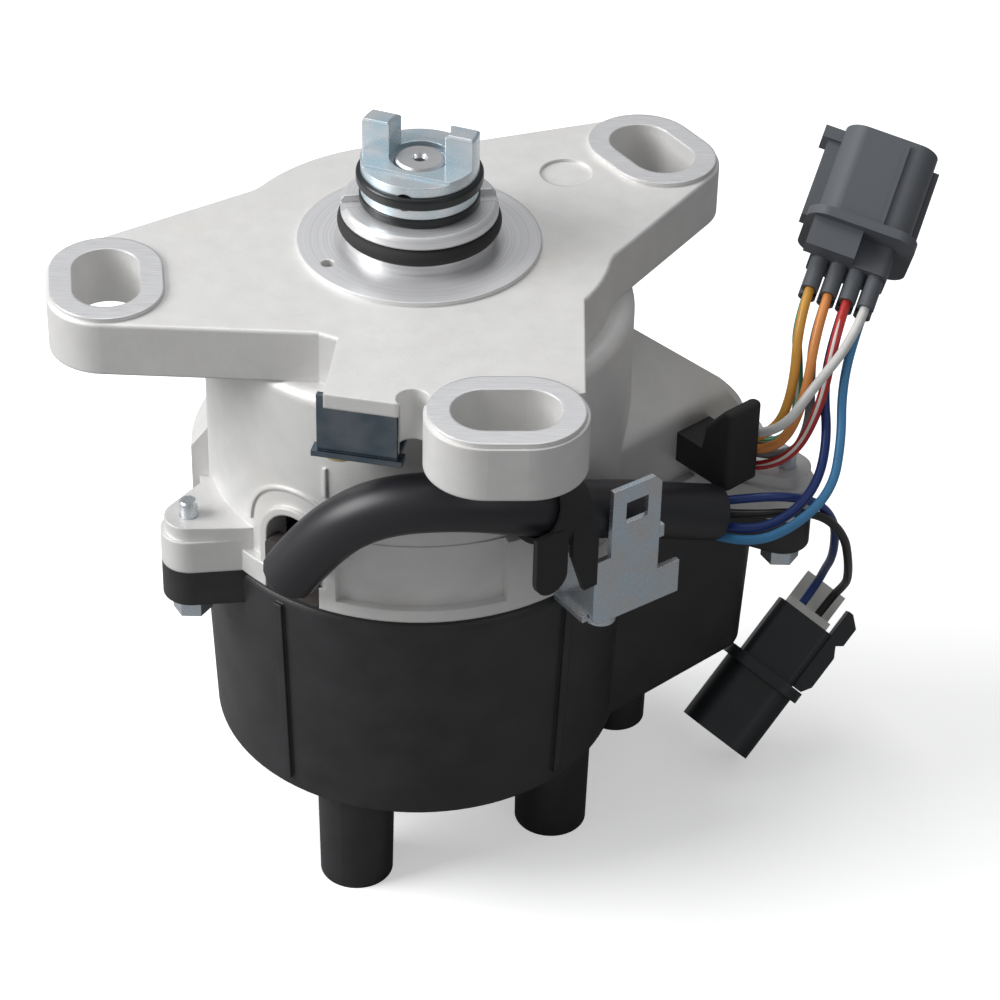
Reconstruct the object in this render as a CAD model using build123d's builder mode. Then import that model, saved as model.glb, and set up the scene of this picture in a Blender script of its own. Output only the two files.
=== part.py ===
from build123d import *
import os
from math import cos, degrees, hypot, pi, radians, sin, tan

# Ignition distributor: cast housing with a slotted three-ear flange, drive shaft and coupling,
# high voltage cap, internal coil and igniter, harness sleeve and two connectors.
# Millimetres. The origin is on the shaft axis at the flange face, +Z towards the drive coupling.

os.makedirs("parts", exist_ok=True)

# ------------------------------------------------------------------ fits
running_gap = 0.04       # radial, shaft in bush and balls in races
fit_gap = 0.02           # radial, pressed or glued pieces of one assembly
free_gap = 0.3           # pieces that pass each other
spark_gap = 0.8          # rotor electrode to cap terminals

# ------------------------------------------------------------------ flange and nose
flange_thickness = 13.0
flange_round = 0.8
arm_blend = 10.0
body_round = 3.0
hub_radius = 44.5
arm_root_radius = 39.8
ear_slot_length = 24.1
ear_slot_width = 15.2
pad_length = 34.1
pad_width = 25.5
pad_height = 1.0
ear_rim = 0.8
left_ear = (-69.4, -20.4, 97.6)
right_ear = (54.2, 42.6, -55.3)
front_ear = (20.9, -68.6, 2.4)
apron = [(-15.5, -30.0), (-18.5, -63.0), (-3.0, -66.0), (20.0, -66.0), (37.7, -60.0), (37.7, -18.0)]
apron_notch = (0.8, -63.8)
apron_notch_radius = 3.6
apron_thickness = 3.5
apron_pocket_corner = (-21.0, -70.0)
apron_pocket_size = (18.8, 14.2)
disc_radius = 28.0
vent_hole_place = (-20.3, -12.2)
vent_hole_radius = 1.5
vent_hole_depth = 8.0
recess_place = (33.7, 32.1)
recess_radius = 6.2
recess_depth = 0.7
nose_radius = 18.0
nose_low_radius = 16.8
nose_top = 11.3
nose_chamfer = 0.8
o_ring_radius = 2.3
o_ring_z = 6.1
o_ring_groove_width = 4.9
o_ring_outer = 18.8
oil_slot_width = 5.0
oil_slot_depth = 1.6
oil_slot_azimuth = 8.0

# ------------------------------------------------------------------ shaft, bush, seal, bearing
shaft_radius = 6.0
shaft_end_radius = 5.6
shaft_end_length = 2.2
shaft_top = 22.0
shaft_low = -92.0
centre_hole_radius = 1.3
centre_hole_depth = 4.0
shaft_chamfer = 0.5
bush_radius = 9.0
bush_low = -9.0
bush_high = 3.0
seal_radius = 12.0
seal_low = 3.6
seal_height = 5.6
seal_case = 2.0
seal_spring_radius = 0.6
bearing_outside = 28.0
bearing_width = 8.0
bearing_top = -28.0
ball_radius = 2.38
ball_count = 8
race_wall = 1.9
ball_gap = 0.05
cage_width = 2.6
cage_thickness = 6.4
hub_wall = 4.6
circlip_thickness = 1.2
circlip_depth = 1.0
circlip_width = 2.4
circlip_opening = 40.0
circlip_z = bearing_top - bearing_width - 0.3
hub_low_z = circlip_z - circlip_thickness - 1.5
deck_underside = -20.0
cavity_radius = 44.0
plate_seat_radius = 46.0
shield_seat_radius = 47.5
partition_wall = 2.0

# ------------------------------------------------------------------ drive coupling
coupling_radius = 13.45
coupling_low = 13.7
coupling_height = 8.6
coupling_recess_radius = 6.95
coupling_recess_depth = 1.8
coupling_land_width = 17.0
coupling_land_step = 0.6
coupling_groove_depth = 1.25
ring_low = 16.2
ring_height = 3.1
ring_outer_radius = 14.5
ring_round = 0.9
thrust_ring_low = 11.6
thrust_ring_radius = 13.8
thrust_ring_round = 0.5
pin_radius = 2.1
pin_azimuth = -103.0
pin_z = 17.9
tang_height = 7.7
tang_width = 5.4
tang_azimuth = -19.6
tang_offset = 0.86
tang_chamfer = 0.5

# ------------------------------------------------------------------ body, coil chamber, lugs
barrel_radius = 50.0
barrel_wall = 4.0
joint_z = -70.0
rim_radius = 52.3
rim_height = 6.0
rim_ledge_z = -58.0
chamber_ledge_z = -64.0
front_angle = 42.0
front_offset = 44.8
rim_right = 86.0
rim_rear = 50.0
rim_rear_corners = [(73.0, 44.0), (60.0, 50.0)]
rim_corner_front = 9.0
rim_corner_rear = 13.0
roof_fall_place = (50.0, 7.0, -25.0)
roof_fall = (0.65, 1.0, 1.0)
shoulder_inset = 1.8
shoulder_top_z = -18.0
shoulder_right = 79.0
shoulder_right_low = (78.2, -56.0)
shoulder_right_middle = (73.6, -45.6)
shoulder_right_high = (65.5, -38.0)
shoulder_peak = (42.0, -18.0)
shoulder_front_z = -47.5
shoulder_front_high = (10.0, -18.0)
shoulder_round = 5.0
lug_radius = 6.8
lug_pad_height = 3.5
lug_pad_step = 1.0
cap_lug_depth = 9.5
left_bolt = (-52.2, -29.0)
right_bolt = (88.0, -3.5)
rear_bolt = (10.0, 60.0)
bolt_radius = 2.1
bolt_stand_out = 4.2
bolt_tip_chamfer = 0.4
hex_across_flats = 8.0
hex_height = 4.4
washer_radius = 5.2
washer_thickness = 1.0
frame_start = -112.0
frame_end = -50.0
frame_top_z = -50.0
frame_bar = 2.7
frame_sill = 3.3
frame_post_sweep = 15.0
frame_root = 2.0
frame_skin = 0.2
bulge_radius = 54.0
bulge_top_z = -50.0
bulge_slope = 5.0
bulge_start = 160.0
bulge_sweep = 26.0
entry_azimuth = -122.0
entry_width = 15.0
entry_arch_z = -55.0
entry_lip = 1.8
entry_lip_height = 1.2
brow_radii = [11.0, 13.6]
brow_width = 0.9
brow_height = 0.5
brow_line_azimuth = -112.8
brow_line_z = (-31.5, -39.5)

# ------------------------------------------------------------------ cap
cap_depth = 60.0
cap_wall = 3.0
cap_taper = 2.4
tower_circle_radius = 37.0
tower_azimuth = -21.5
tower_count = 4
tower_root_radius = 9.5
tower_taper = 0.9
tower_end_z = -161.0
tower_bore_radius = 5.0
tower_bore_depth = 19.0
coil_boss_place = (50.5, 9.0)
coil_boss_radius = 7.8
coil_boss_end_z = -146.0
rib_azimuths = [-126.0, -46.0, 176.0]
rib_width = 2.2
rib_height = 0.9
rib_margin = 3.0
floor_round = 3.5
seal_inset = 0.8
seal_width = 1.4
seal_depth = 1.4
terminal_radius = 2.2
terminal_pad_radius = 4.2
terminal_pad_thickness = 1.0
terminal_tip_z = -88.0
terminal_boss_radius = 4.6
terminal_boss_z = -102.0

# ------------------------------------------------------------------ ignition parts
reluctor_root = 9.0
crank_reluctor_radius = 22.0
crank_teeth = 24
phase_reluctor_radius = 19.0
phase_teeth = 4
reluctor_thickness = 3.0
reluctor_hub_height = 4.0
crank_tooth_width = 2.6
phase_tooth_width = 6.0
crank_tooth_height = 2.4
phase_tooth_height = 5.0
crank_reluctor_z = -43.5
pickup_gap = 0.8
pickup_pole = 3.0
pickup_inner = 27.0
pickup_depth = 9.0
pickup_width = 13.0
pickup_round = 2.0
pickup_azimuths = [100.0, 220.0, 340.0]
sensor_plate_z = -63.0
sensor_plate_thickness = 2.0
shield_z = -68.4
shield_hole_radius = 13.0
rotor_hub_radius = 10.0
rotor_top_z = -71.5
rotor_bore_end = 0.5
rotor_tail_radius = 13.0
rotor_nose_radius = 6.0
rotor_reach = 31.0
rotor_edge_round = 1.0
electrode_width = 7.0
electrode_centre_radius = 5.0
rotor_screw_radius = 2.0
rotor_screw_head_radius = 3.4
rotor_screw_head_height = 2.0
rotor_screw_z = -79.0
rotor_arm_z = -88.0
rotor_thickness = 8.0
electrode_thickness = 1.6
brush_radius = 3.0
brush_length = 9.0
brush_travel = 1.5
brush_gap = 0.2
brush_wall = 2.4
brush_chamfer = 0.5
spring_length = 13.0
spring_wire_radius = 0.35
spring_turns = 6.0
igniter_size = (34.0, 16.0, 9.0)
igniter_round = 2.0
igniter_place = (0.0, 31.0)
coil_size = 22.0
coil_height = 48.0
coil_top_z = -60.0
coil_along = 60.0
coil_out = 24.0
coil_round = 3.0
coil_nozzle_radius = 4.0
coil_nozzle_gap = 0.3

# ------------------------------------------------------------------ brackets, sleeve and boot
sheet = 1.4
bend_radius = 1.2
bracket_angle = 36.0
bracket_offset = 65.7
bracket_left = 3.9
bracket_right = 28.4
bracket_low_z = -71.1
bracket_left_height = 18.0
bracket_right_height = 9.1
bracket_right_width = 6.4
bracket_left_width = 4.4
bracket_corner = 2.4
tab_top_z = -35.0
tab_corner = 1.9
tab_hole = (15.2, -42.2)
tab_hole_size = (6.2, 5.8)
bracket_side_height = 15.0
bracket_side_end = 52.15
bracket_foot_width = 12.0
bracket_foot_depth = 8.4
bracket_lip = 1.2
bracket_hook_size = (4.0, 3.4)
bracket_hook_depth = 1.5
bracket_hook_z = -54.5
bracket_screw_spot = 4.2
bracket_screw_radius = 2.0
bracket_screw_head_radius = 3.6
bracket_screw_head_height = 2.2
plate_azimuth = -101.0
plate_radius = 60.5
plate_width = 18.0
plate_top_z = -3.8
plate_height = 15.8
plate_ear = 1.2
plate_lip = 0.7
plate_foot_end = 50.3
plate_screw_radius = 2.0
plate_screw_head_radius = 3.6
plate_screw_head_height = 2.0
plate_screw_out = 55.8
plate_screw_side = -4.8
sleeve_diameter = 13.4
strap_width = 9.0
strap_wall = 1.4
strap_gap = 0.3
strap_tongue_length = 16.4
strap_tongue_shift = -6.0
strap_flap_reach = 7.5
strap_flap_drop = 20.0
strap_run = 4
boot_left = 44.0
boot_right = 54.6
boot_outer = 60.0
boot_top_z = -41.0
boot_back_drop = 8.0
boot_round = 2.0
grommet_top_z = -56.0
grommet_inner = 47.8
grommet_outer = 51.8
grommet_round = 1.5
entry_lead_diameter = 2.0
entry_lead_spacing = 4.4
entry_lead_z = -64.0
lead_diameter = 2.3
lead_gap = 0.2

# ------------------------------------------------------------------ connectors
# Flange centre, axis towards the mouth, and the direction across the flat side.
connector_place = (103.4, 25.9, -12.4)
connector_axis = (0.317, 0.797, 0.514)
connector_across = (0.939, -0.252, -0.232)
connector_width = 23.0
connector_depth = 18.5
connector_wall = 1.7
connector_shell_length = 24.0
connector_round = 5.0
connector_flange_rise = 2.0
connector_flange_thickness = 2.4
connector_rear_length = 7.6
connector_rear_width = 19.0
connector_rear_depth = 11.0
connector_tongue_width = 12.0
connector_tongue_depth = 5.0
connector_tongue_length = 13.0
rail_width = 5.0
rail_height = 3.2
rail_hook = 1.6
tube_length = 8.0
tube_radius = 2.1
tube_pitch = 4.6
tube_row_pitch = 5.0
blade_size = (1.0, 2.2)
blade_length = 8.0
plug_place = (103.2, 31.2, -124.0)
plug_axis = (-0.585, -0.479, -0.655)
plug_across = (0.843, -0.319, -0.435)
plug_hood_length = 19.0
plug_hood_width = 20.0
plug_hood_thickness = 13.4
plug_hood_round = 6.0
plug_round = 2.0
plug_wall = 1.6
plug_collar_length = 3.0
plug_collar_rise = 1.4
plug_body_start = 6.5
plug_body_length = 19.7
plug_body_width = 16.0
plug_body_thickness = 11.5
plug_latch_width = 8.0
plug_latch_thickness = 4.2
plug_latch_neck = 2.6
plug_latch_length = 24.0
plug_holder_width = 12.0
plug_holder_length = 10.0
plug_holder_thickness = 2.0
plug_lead_diameter = 2.2
plug_lead_spacing = 5.0

# ------------------------------------------------------------------ cord routes, chosen points
sleeve_route = [
    (-27.3, -52.6, -56.5),
    (-20.5, -56.0, -44.0),
    (-8.0, -59.6, -32.0),
    (9.5, -60.5, -29.0),
    (25.5, -54.5, -34.5),
    (36.8, -45.2, -42.0),
    (50.5, -30.5, -52.0),
    (61.5, -21.3, -59.3),
    (70.5, -17.0, -62.5),
]
entry_lead_routes = {
    "entry_lead_white": [(-29.0, -51.6, -56.9), (-31.4, -50.2, -61.0), (-30.9, -45.3, -64.0), (-27.4, -39.7, -64.0)],
    "entry_lead_orange": [(-25.8, -53.2, -57.6), (-28.1, -52.2, -61.4), (-27.2, -47.6, -64.0), (-23.7, -42.0, -64.0)],
}
boot_lead_routes = {
    "lead_white": [(80.7, -6.2, -46.8), (85.6, -9.8, -43.6), (91.8, -7.6, -33.6), (101.8, 2.2, -25.2),
                   (105.2, 10.6, -19.8)],
    "lead_yellow": [(78.7, -4.3, -50.0), (84.6, -4.6, -48.0), (88.2, -1.8, -37.3), (88.8, 5.4, -22.1),
                    (92.1, 13.8, -16.8)],
    "lead_orange": [(80.6, -6.2, -51.6), (85.8, -8.6, -49.6), (90.7, -4.8, -38.9), (93.1, 4.3, -23.2),
                    (96.4, 12.7, -17.8)],
    "lead_red": [(80.7, -6.2, -56.4), (87.5, -10.5, -52.6), (94.6, -4.6, -41.4), (97.5, 3.2, -24.2),
                 (100.8, 11.6, -18.8)],
    "lead_green": [(76.7, -2.1, -51.2), (85.6, -3.5, -53.3), (90.0, -0.3, -45.5), (89.5, 5.3, -34.4),
                   (88.5, 8.2, -26.3), (91.8, 16.5, -20.9)],
    "lead_grey": [(78.2, -3.6, -53.9), (87.9, -8.0, -53.6), (92.8, -2.3, -47.4), (92.4, 3.7, -36.0),
                  (92.8, 7.1, -27.4), (96.2, 15.5, -21.9)],
}
sleeve_lead_routes = {
    "lead_dark_blue": [(71.5, -18.3, -65.1), (78.1, -22.5, -64.0), (87.3, -21.8, -60.3), (94.2, -16.3, -54.5),
                       (96.6, -7.3, -47.3), (95.4, 0.1, -38.1), (97.2, 6.0, -28.4), (100.5, 14.4, -22.9)],
    "lead_light_blue": [(71.5, -19.9, -67.3), (78.8, -25.5, -65.4), (89.0, -24.9, -60.3), (97.5, -19.0, -53.9),
                        (99.6, -9.6, -46.2), (99.6, -1.3, -38.2), (101.5, 4.9, -29.4), (104.9, 13.3, -24.0)],
}
plug_lead_routes = {
    "plug_lead_blue": [(71.2, -15.1, -60.7), (79.0, -16.2, -58.6), (87.6, -15.1, -58.8), (95.4, -13.0, -61.9),
                       (100.4, -6.9, -72.1), (102.2, 4.5, -88.0), (103.2, 17.0, -101.5), (103.4, 28.0, -112.5),
                       (102.0, 32.8, -121.8), (96.5, 28.2, -128.1)],
    "plug_lead_black": [(71.3, -16.8, -62.9), (79.4, -18.4, -62.0), (88.4, -16.6, -62.3), (96.5, -13.8, -64.9),
                        (102.8, -7.9, -75.2), (105.6, 1.5, -90.0), (107.4, 13.0, -104.0), (108.3, 24.5, -115.0),
                        (106.1, 31.1, -124.2), (100.5, 26.5, -130.4)],
}


# ------------------------------------------------------------------ shared shapes
def on_circle(radius, azimuth):
    """Point at a radius and an azimuth from the shaft axis."""
    return (radius * cos(radians(azimuth)), radius * sin(radians(azimuth)))


def along_front(along, out, z=0.0):
    """Point given along the coil chamber's front wall, out from the axis, and in height."""
    turn = radians(front_angle)
    return (along * cos(turn) + out * sin(turn), along * sin(turn) - out * cos(turn), z)


def front_plane(out, angle=front_angle):
    """Upright plane facing out of the front wall, or of a piece at another angle: y runs up."""
    turn = radians(angle)
    return Plane(origin=(out * sin(turn), -out * cos(turn), 0), x_dir=(cos(turn), sin(turn), 0),
                 z_dir=(sin(turn), -cos(turn), 0))


def section_plane(azimuth):
    """Upright plane through the axis: x runs outwards at the azimuth and y runs up."""
    turn = radians(azimuth)
    return Plane(origin=(0, 0, 0), x_dir=(cos(turn), sin(turn), 0), z_dir=(sin(turn), -cos(turn), 0))


def facing_plane(azimuth, radius, z=0.0):
    """Upright plane that faces outwards at an azimuth: y runs up."""
    x, y = on_circle(radius, azimuth)
    turn = radians(azimuth)
    return Plane(origin=(x, y, z), x_dir=(-sin(turn), cos(turn), 0), z_dir=(cos(turn), sin(turn), 0))


def ear_plan(ear, length, width):
    """Slot-shaped outline at an ear."""
    x, y, angle = ear
    with BuildSketch(mode=Mode.PRIVATE) as plan:
        with Locations(Location((x, y, 0), (0, 0, angle))):
            SlotOverall(length, width)
    return plan.sketch


def arm_plan(ear):
    """Flange arm: an ear drawn tight to the hub."""
    with BuildSketch(mode=Mode.PRIVATE) as plan:
        add(ear_plan(ear, pad_length + 2 * ear_rim, pad_width + 2 * ear_rim))
        Circle(arm_root_radius)
        make_hull()
    return plan.sketch


def lug_plan(bolt, root, root_radius, radius):
    """Screw lug drawn tight to a round root inside the rim."""
    with BuildSketch(mode=Mode.PRIVATE) as plan:
        with Locations(bolt):
            Circle(radius)
        with Locations(root):
            Circle(root_radius)
        make_hull()
    return plan.sketch


def chamber_plan(inset):
    """Coil chamber beside the round body, inset from its outline."""
    front_start = along_front(0, front_offset)
    right_along = (rim_right - front_start[0]) / cos(radians(front_angle))
    front_right = along_front(right_along, front_offset)
    with BuildSketch(mode=Mode.PRIVATE) as plan:
        with BuildLine():
            Polyline((0, 0), front_start[:2], front_right[:2], *rim_rear_corners, (0, rim_rear), close=True)
        make_face()
        fillet(plan.vertices().sort_by(Axis.X)[-1], rim_corner_front)
        fillet(plan.vertices().sort_by_distance(rim_rear_corners[0])[0], rim_corner_rear)
        if inset > 0:
            offset(amount=-inset)
    return plan.sketch


def joint_plan(inset):
    """Outline of the joint between the housing and the cap."""
    with BuildSketch(mode=Mode.PRIVATE) as plan:
        Circle(rim_radius - inset)
        add(chamber_plan(inset))
    return plan.sketch


coupling_top = coupling_low + coupling_height
coupling_groove_radius = coupling_radius - coupling_groove_depth
electrode_low_z = rotor_arm_z - rotor_thickness - electrode_thickness
brush_top_z = electrode_low_z - brush_gap
brush_low_z = brush_top_z - brush_length
spring_seat_z = brush_low_z - spring_length
lug_roots = [
    (left_bolt, (-40.0, -22.0), 12.0),
    (right_bolt, (74.0, 6.0), 10.0),
    (rear_bolt, (8.0, 42.0), 11.0),
]
bolt_places = [left_bolt, right_bolt, rear_bolt]

# ------------------------------------------------------------------ housing
# One casting: slotted flange and nose, round body, coil chamber, screw lugs, front frame and lead entry.
with BuildPart() as chamber_roof:
    with BuildSketch(Plane.XY.offset(joint_z)):
        add(chamber_plan(shoulder_inset))
    extrude(amount=shoulder_top_z - joint_z)
    with BuildSketch(Plane.XZ):
        with BuildLine():
            Polyline((0, shoulder_top_z), (0, joint_z), (shoulder_right, joint_z), shoulder_right_low)
            ThreePointArc(shoulder_right_low, shoulder_right_middle, shoulder_right_high)
            Polyline(shoulder_right_high, shoulder_peak, (0, shoulder_top_z))
        make_face()
    extrude(amount=2 * rim_right, both=True, mode=Mode.INTERSECT)
    with BuildSketch(section_plane(front_angle - 90)):
        with BuildLine():
            Polyline((-rim_right, shoulder_top_z), (-rim_right, joint_z), (front_offset, joint_z),
                     (front_offset, shoulder_front_z), shoulder_front_high, close=True)
        make_face()
    extrude(amount=2 * rim_right, both=True, mode=Mode.INTERSECT)
    front_brow = chamber_roof.edges().sort_by_distance(along_front(50, front_offset, shoulder_front_z))[0]
    fillet(front_brow, shoulder_round)
    split(bisect_by=Plane(origin=roof_fall_place, z_dir=roof_fall), keep=Keep.BOTTOM)

# Thin raised arcs over the lead entry and a short upright line beside it, all standing off the round body.
with BuildPart() as entry_brow:
    with BuildSketch(facing_plane(entry_azimuth, barrel_radius - 6)):
        with Locations((0, entry_arch_z)):
            for radius in brow_radii:
                Circle(radius + brow_width)
                Circle(radius, mode=Mode.SUBTRACT)
            Rectangle(4 * brow_radii[-1], 2 * brow_radii[-1], align=(Align.CENTER, Align.MAX), mode=Mode.SUBTRACT)
    extrude(amount=12)
    with BuildSketch(facing_plane(brow_line_azimuth, barrel_radius - 6)):
        with Locations((0, brow_line_z[1])):
            Rectangle(brow_width, brow_line_z[0] - brow_line_z[1], align=(Align.CENTER, Align.MIN))
    extrude(amount=12)
    with BuildSketch(Plane.XY.offset(joint_z)):
        Circle(barrel_radius + brow_height)
    extrude(amount=-joint_z, mode=Mode.INTERSECT)

with BuildPart() as housing:
    # flange with three arms and the front apron
    with BuildSketch(Plane.XY.offset(-flange_thickness)):
        Circle(hub_radius)
        add(arm_plan(left_ear))
        add(arm_plan(right_ear))
        hub_corners = [v for v in vertices() if abs(hypot(v.X, v.Y) - hub_radius) < 0.01 and v.Y > -30]
        fillet(hub_corners, arm_blend)
    extrude(amount=flange_thickness)
    fillet(housing.faces().sort_by(Axis.Z)[-1].edges(), flange_round)
    with BuildSketch(Plane.XY.offset(-flange_thickness)):
        with BuildLine():
            Polyline(*apron, close=True)
        make_face()
        add(ear_plan(front_ear, pad_length + 2 * ear_rim, pad_width + 2 * ear_rim))
        with Locations(apron_notch):
            Circle(apron_notch_radius, mode=Mode.SUBTRACT)
    extrude(amount=flange_thickness)

    # round body with the joint rim, the coil chamber and its rim
    with BuildSketch(section_plane(0)):
        with BuildLine():
            Polyline((0, -flange_thickness), (0, joint_z), (barrel_radius, joint_z),
                     (barrel_radius, -flange_thickness), close=True)
        make_face()
        fillet(vertices().group_by(Axis.X)[-1].sort_by(Axis.Y)[-1], body_round)
    revolve(axis=Axis.Z)
    add(chamber_roof.part)
    with BuildSketch(Plane.XY.offset(joint_z)):
        Circle(rim_radius)
    extrude(amount=rim_height)
    with BuildSketch(Plane.XY.offset(joint_z)):
        add(chamber_plan(0))
    extrude(amount=chamber_ledge_z - joint_z)

    # screw lugs, each with a narrower pad on top
    for bolt, root, root_radius in lug_roots:
        with BuildSketch(Plane.XY.offset(joint_z)):
            add(lug_plan(bolt, root, root_radius, lug_radius))
        extrude(amount=rim_ledge_z - joint_z - lug_pad_height)
        with BuildSketch(Plane.XY.offset(rim_ledge_z - lug_pad_height)):
            add(lug_plan(bolt, root, root_radius, lug_radius - lug_pad_step))
        extrude(amount=lug_pad_height)

    # web behind the left lug
    with BuildSketch(section_plane(bulge_start)):
        with BuildLine():
            Polyline((barrel_radius - 4, bulge_top_z), (barrel_radius - 4, joint_z), (bulge_radius, joint_z),
                     (bulge_radius, bulge_top_z - bulge_slope), (barrel_radius, bulge_top_z), close=True)
        make_face()
    revolve(axis=Axis.Z, revolution_arc=bulge_sweep)

    # raised frame on the front of the round body, with a recessed window
    with BuildSketch(section_plane(frame_start)):
        with Locations((barrel_radius - frame_root, joint_z + rim_height)):
            Rectangle(rim_radius - barrel_radius + frame_root, frame_top_z - joint_z - rim_height,
                      align=(Align.MIN, Align.MIN))
    revolve(axis=Axis.Z, revolution_arc=frame_end - frame_start)
    frame_bar_sweep = degrees(frame_bar / rim_radius)
    with BuildSketch(section_plane(frame_start + frame_bar_sweep)):
        with Locations((barrel_radius + frame_skin, joint_z + frame_sill)):
            Rectangle(2 * rim_height, frame_top_z - joint_z, align=(Align.MIN, Align.MIN))
    revolve(axis=Axis.Z, revolution_arc=frame_end - frame_start - frame_bar_sweep - frame_post_sweep,
            mode=Mode.SUBTRACT)

    # cast lip round the lead entry
    with BuildSketch(facing_plane(entry_azimuth, barrel_radius - 5)):
        with Locations((0, entry_arch_z)):
            Circle(entry_width / 2 + entry_lip)
        with Locations((0, joint_z)):
            Rectangle(entry_width + 2 * entry_lip, entry_arch_z - joint_z, align=(Align.CENTER, Align.MIN))
    extrude(amount=5 + entry_lip_height)

    add(entry_brow.part)

    # nose with its o-ring groove and oil slots, and the machined face round it
    with BuildSketch(Plane.XY.offset(-flange_thickness)):
        Circle(disc_radius)
    extrude(amount=flange_thickness + pad_height)
    with BuildSketch(section_plane(0)):
        with BuildLine():
            Polyline((0, 0), (nose_low_radius, 0), (nose_low_radius, o_ring_z), (nose_radius, o_ring_z),
                     (nose_radius, nose_top - nose_chamfer), (nose_radius - nose_chamfer, nose_top),
                     (0, nose_top), close=True)
        make_face()
    revolve(axis=Axis.Z)
    with BuildSketch(section_plane(0)):
        with Locations((o_ring_outer - o_ring_radius, o_ring_z)):
            Rectangle(2 * o_ring_radius + 2 * fit_gap, o_ring_groove_width)
    revolve(axis=Axis.Z, mode=Mode.SUBTRACT)
    with BuildSketch(Plane.XY.offset(nose_top)):
        with Locations(Location((0, 0, 0), (0, 0, oil_slot_azimuth))):
            Rectangle(3 * nose_radius, oil_slot_width)
    extrude(amount=-oil_slot_depth, mode=Mode.SUBTRACT)

    # mounting pads and their slots
    for ear in (left_ear, right_ear, front_ear):
        with BuildSketch(Plane.XY.offset(-2 * pad_height)):
            add(ear_plan(ear, pad_length, pad_width))
        extrude(amount=3 * pad_height)
        with BuildSketch(Plane.XY.offset(pad_height)):
            add(ear_plan(ear, ear_slot_length, ear_slot_width))
        extrude(amount=-2 * flange_thickness, mode=Mode.SUBTRACT)

    # thin web between the apron and the front ear
    with BuildSketch(Plane.XY.offset(-apron_thickness)):
        with Locations(apron_pocket_corner):
            Rectangle(*apron_pocket_size, align=(Align.MIN, Align.MIN))
    extrude(amount=-flange_thickness, mode=Mode.SUBTRACT)

    # vent hole and shallow round recess
    with BuildSketch(Plane.XY.offset(pad_height)):
        with Locations(vent_hole_place):
            Circle(vent_hole_radius)
    extrude(amount=-vent_hole_depth, mode=Mode.SUBTRACT)
    with BuildSketch(Plane.XY):
        with Locations(recess_place):
            Circle(recess_radius)
    extrude(amount=-recess_depth, mode=Mode.SUBTRACT)

    # bearing hub inside, joined to the deck
    with BuildSketch(section_plane(0)):
        with BuildLine():
            Polyline((0, deck_underside), (cavity_radius, deck_underside), (cavity_radius, sensor_plate_z),
                     (plate_seat_radius, sensor_plate_z), (plate_seat_radius, shield_z),
                     (shield_seat_radius, shield_z), (shield_seat_radius, joint_z - 1), (0, joint_z - 1), close=True)
        make_face()
        with BuildLine():
            Polyline((0, 0), (bearing_outside / 2 + hub_wall, 0), (bearing_outside / 2 + hub_wall, hub_low_z),
                     (0, hub_low_z), close=True)
        make_face(mode=Mode.SUBTRACT)
    revolve(axis=Axis.Z, mode=Mode.SUBTRACT)

    # stepped bore: seal, bush, shaft clearance, bearing and the groove of its ring
    with BuildSketch(section_plane(0)):
        with BuildLine():
            Polyline((0, nose_top + 1), (seal_radius, nose_top + 1), (seal_radius, seal_low),
                     (bush_radius, seal_low), (bush_radius, bush_low), (shaft_radius + 1.5, bush_low),
                     (shaft_radius + 1.5, bearing_top), (bearing_outside / 2, bearing_top),
                     (bearing_outside / 2, hub_low_z - 1), (0, hub_low_z - 1), close=True)
        make_face()
        with Locations((0, circlip_z)):
            Rectangle(bearing_outside / 2 + circlip_depth, circlip_thickness + 2 * fit_gap,
                      align=(Align.MIN, Align.MAX))
    revolve(axis=Axis.Z, mode=Mode.SUBTRACT)

    # coil chamber hollow, with a partition towards the round body
    with BuildSketch(Plane.XY.offset(joint_z)):
        add(chamber_plan(barrel_wall))
        Circle(shield_seat_radius + partition_wall, mode=Mode.SUBTRACT)
    extrude(amount=coil_top_z - joint_z, mode=Mode.SUBTRACT)

    # lead entry and the screw holes of the lugs
    with BuildSketch(facing_plane(entry_azimuth, barrel_radius - 8)):
        with Locations((0, entry_arch_z)):
            Circle(entry_width / 2)
        with Locations((0, joint_z - 1)):
            Rectangle(entry_width, entry_arch_z - joint_z + 1, align=(Align.CENTER, Align.MIN))
    extrude(amount=8 + 3 * entry_lip, mode=Mode.SUBTRACT)
    with BuildSketch(Plane.XY.offset(joint_z)):
        with Locations(bolt_places):
            Circle(bolt_radius + fit_gap)
    extrude(amount=rim_ledge_z - joint_z, mode=Mode.SUBTRACT)

housing.part.label = "housing"
export_step(housing.part, "parts/housing.step")

# ------------------------------------------------------------------ cap
# Moulded shell: round cup with a chamber for the coil, four lead towers, screw lugs and a brush holder.
cap_floor_z = joint_z - cap_depth
cap_floor_radius = rim_radius - cap_depth * tan(radians(cap_taper))


def cap_wall_radius(z, inset):
    """Radius of the cup's outer face at a height, less an inset."""
    return rim_radius - (joint_z - z) * tan(radians(cap_taper)) - inset


with BuildPart() as cap_chamber:
    with BuildSketch(Plane.XY.offset(joint_z)):
        add(chamber_plan(0))
    extrude(amount=-cap_depth, taper=cap_taper)
    floor_edges = cap_chamber.faces().sort_by(Axis.Z)[0].edges().filter_by(lambda e: e.center().X > barrel_radius)
    fillet(floor_edges, floor_round)

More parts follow.
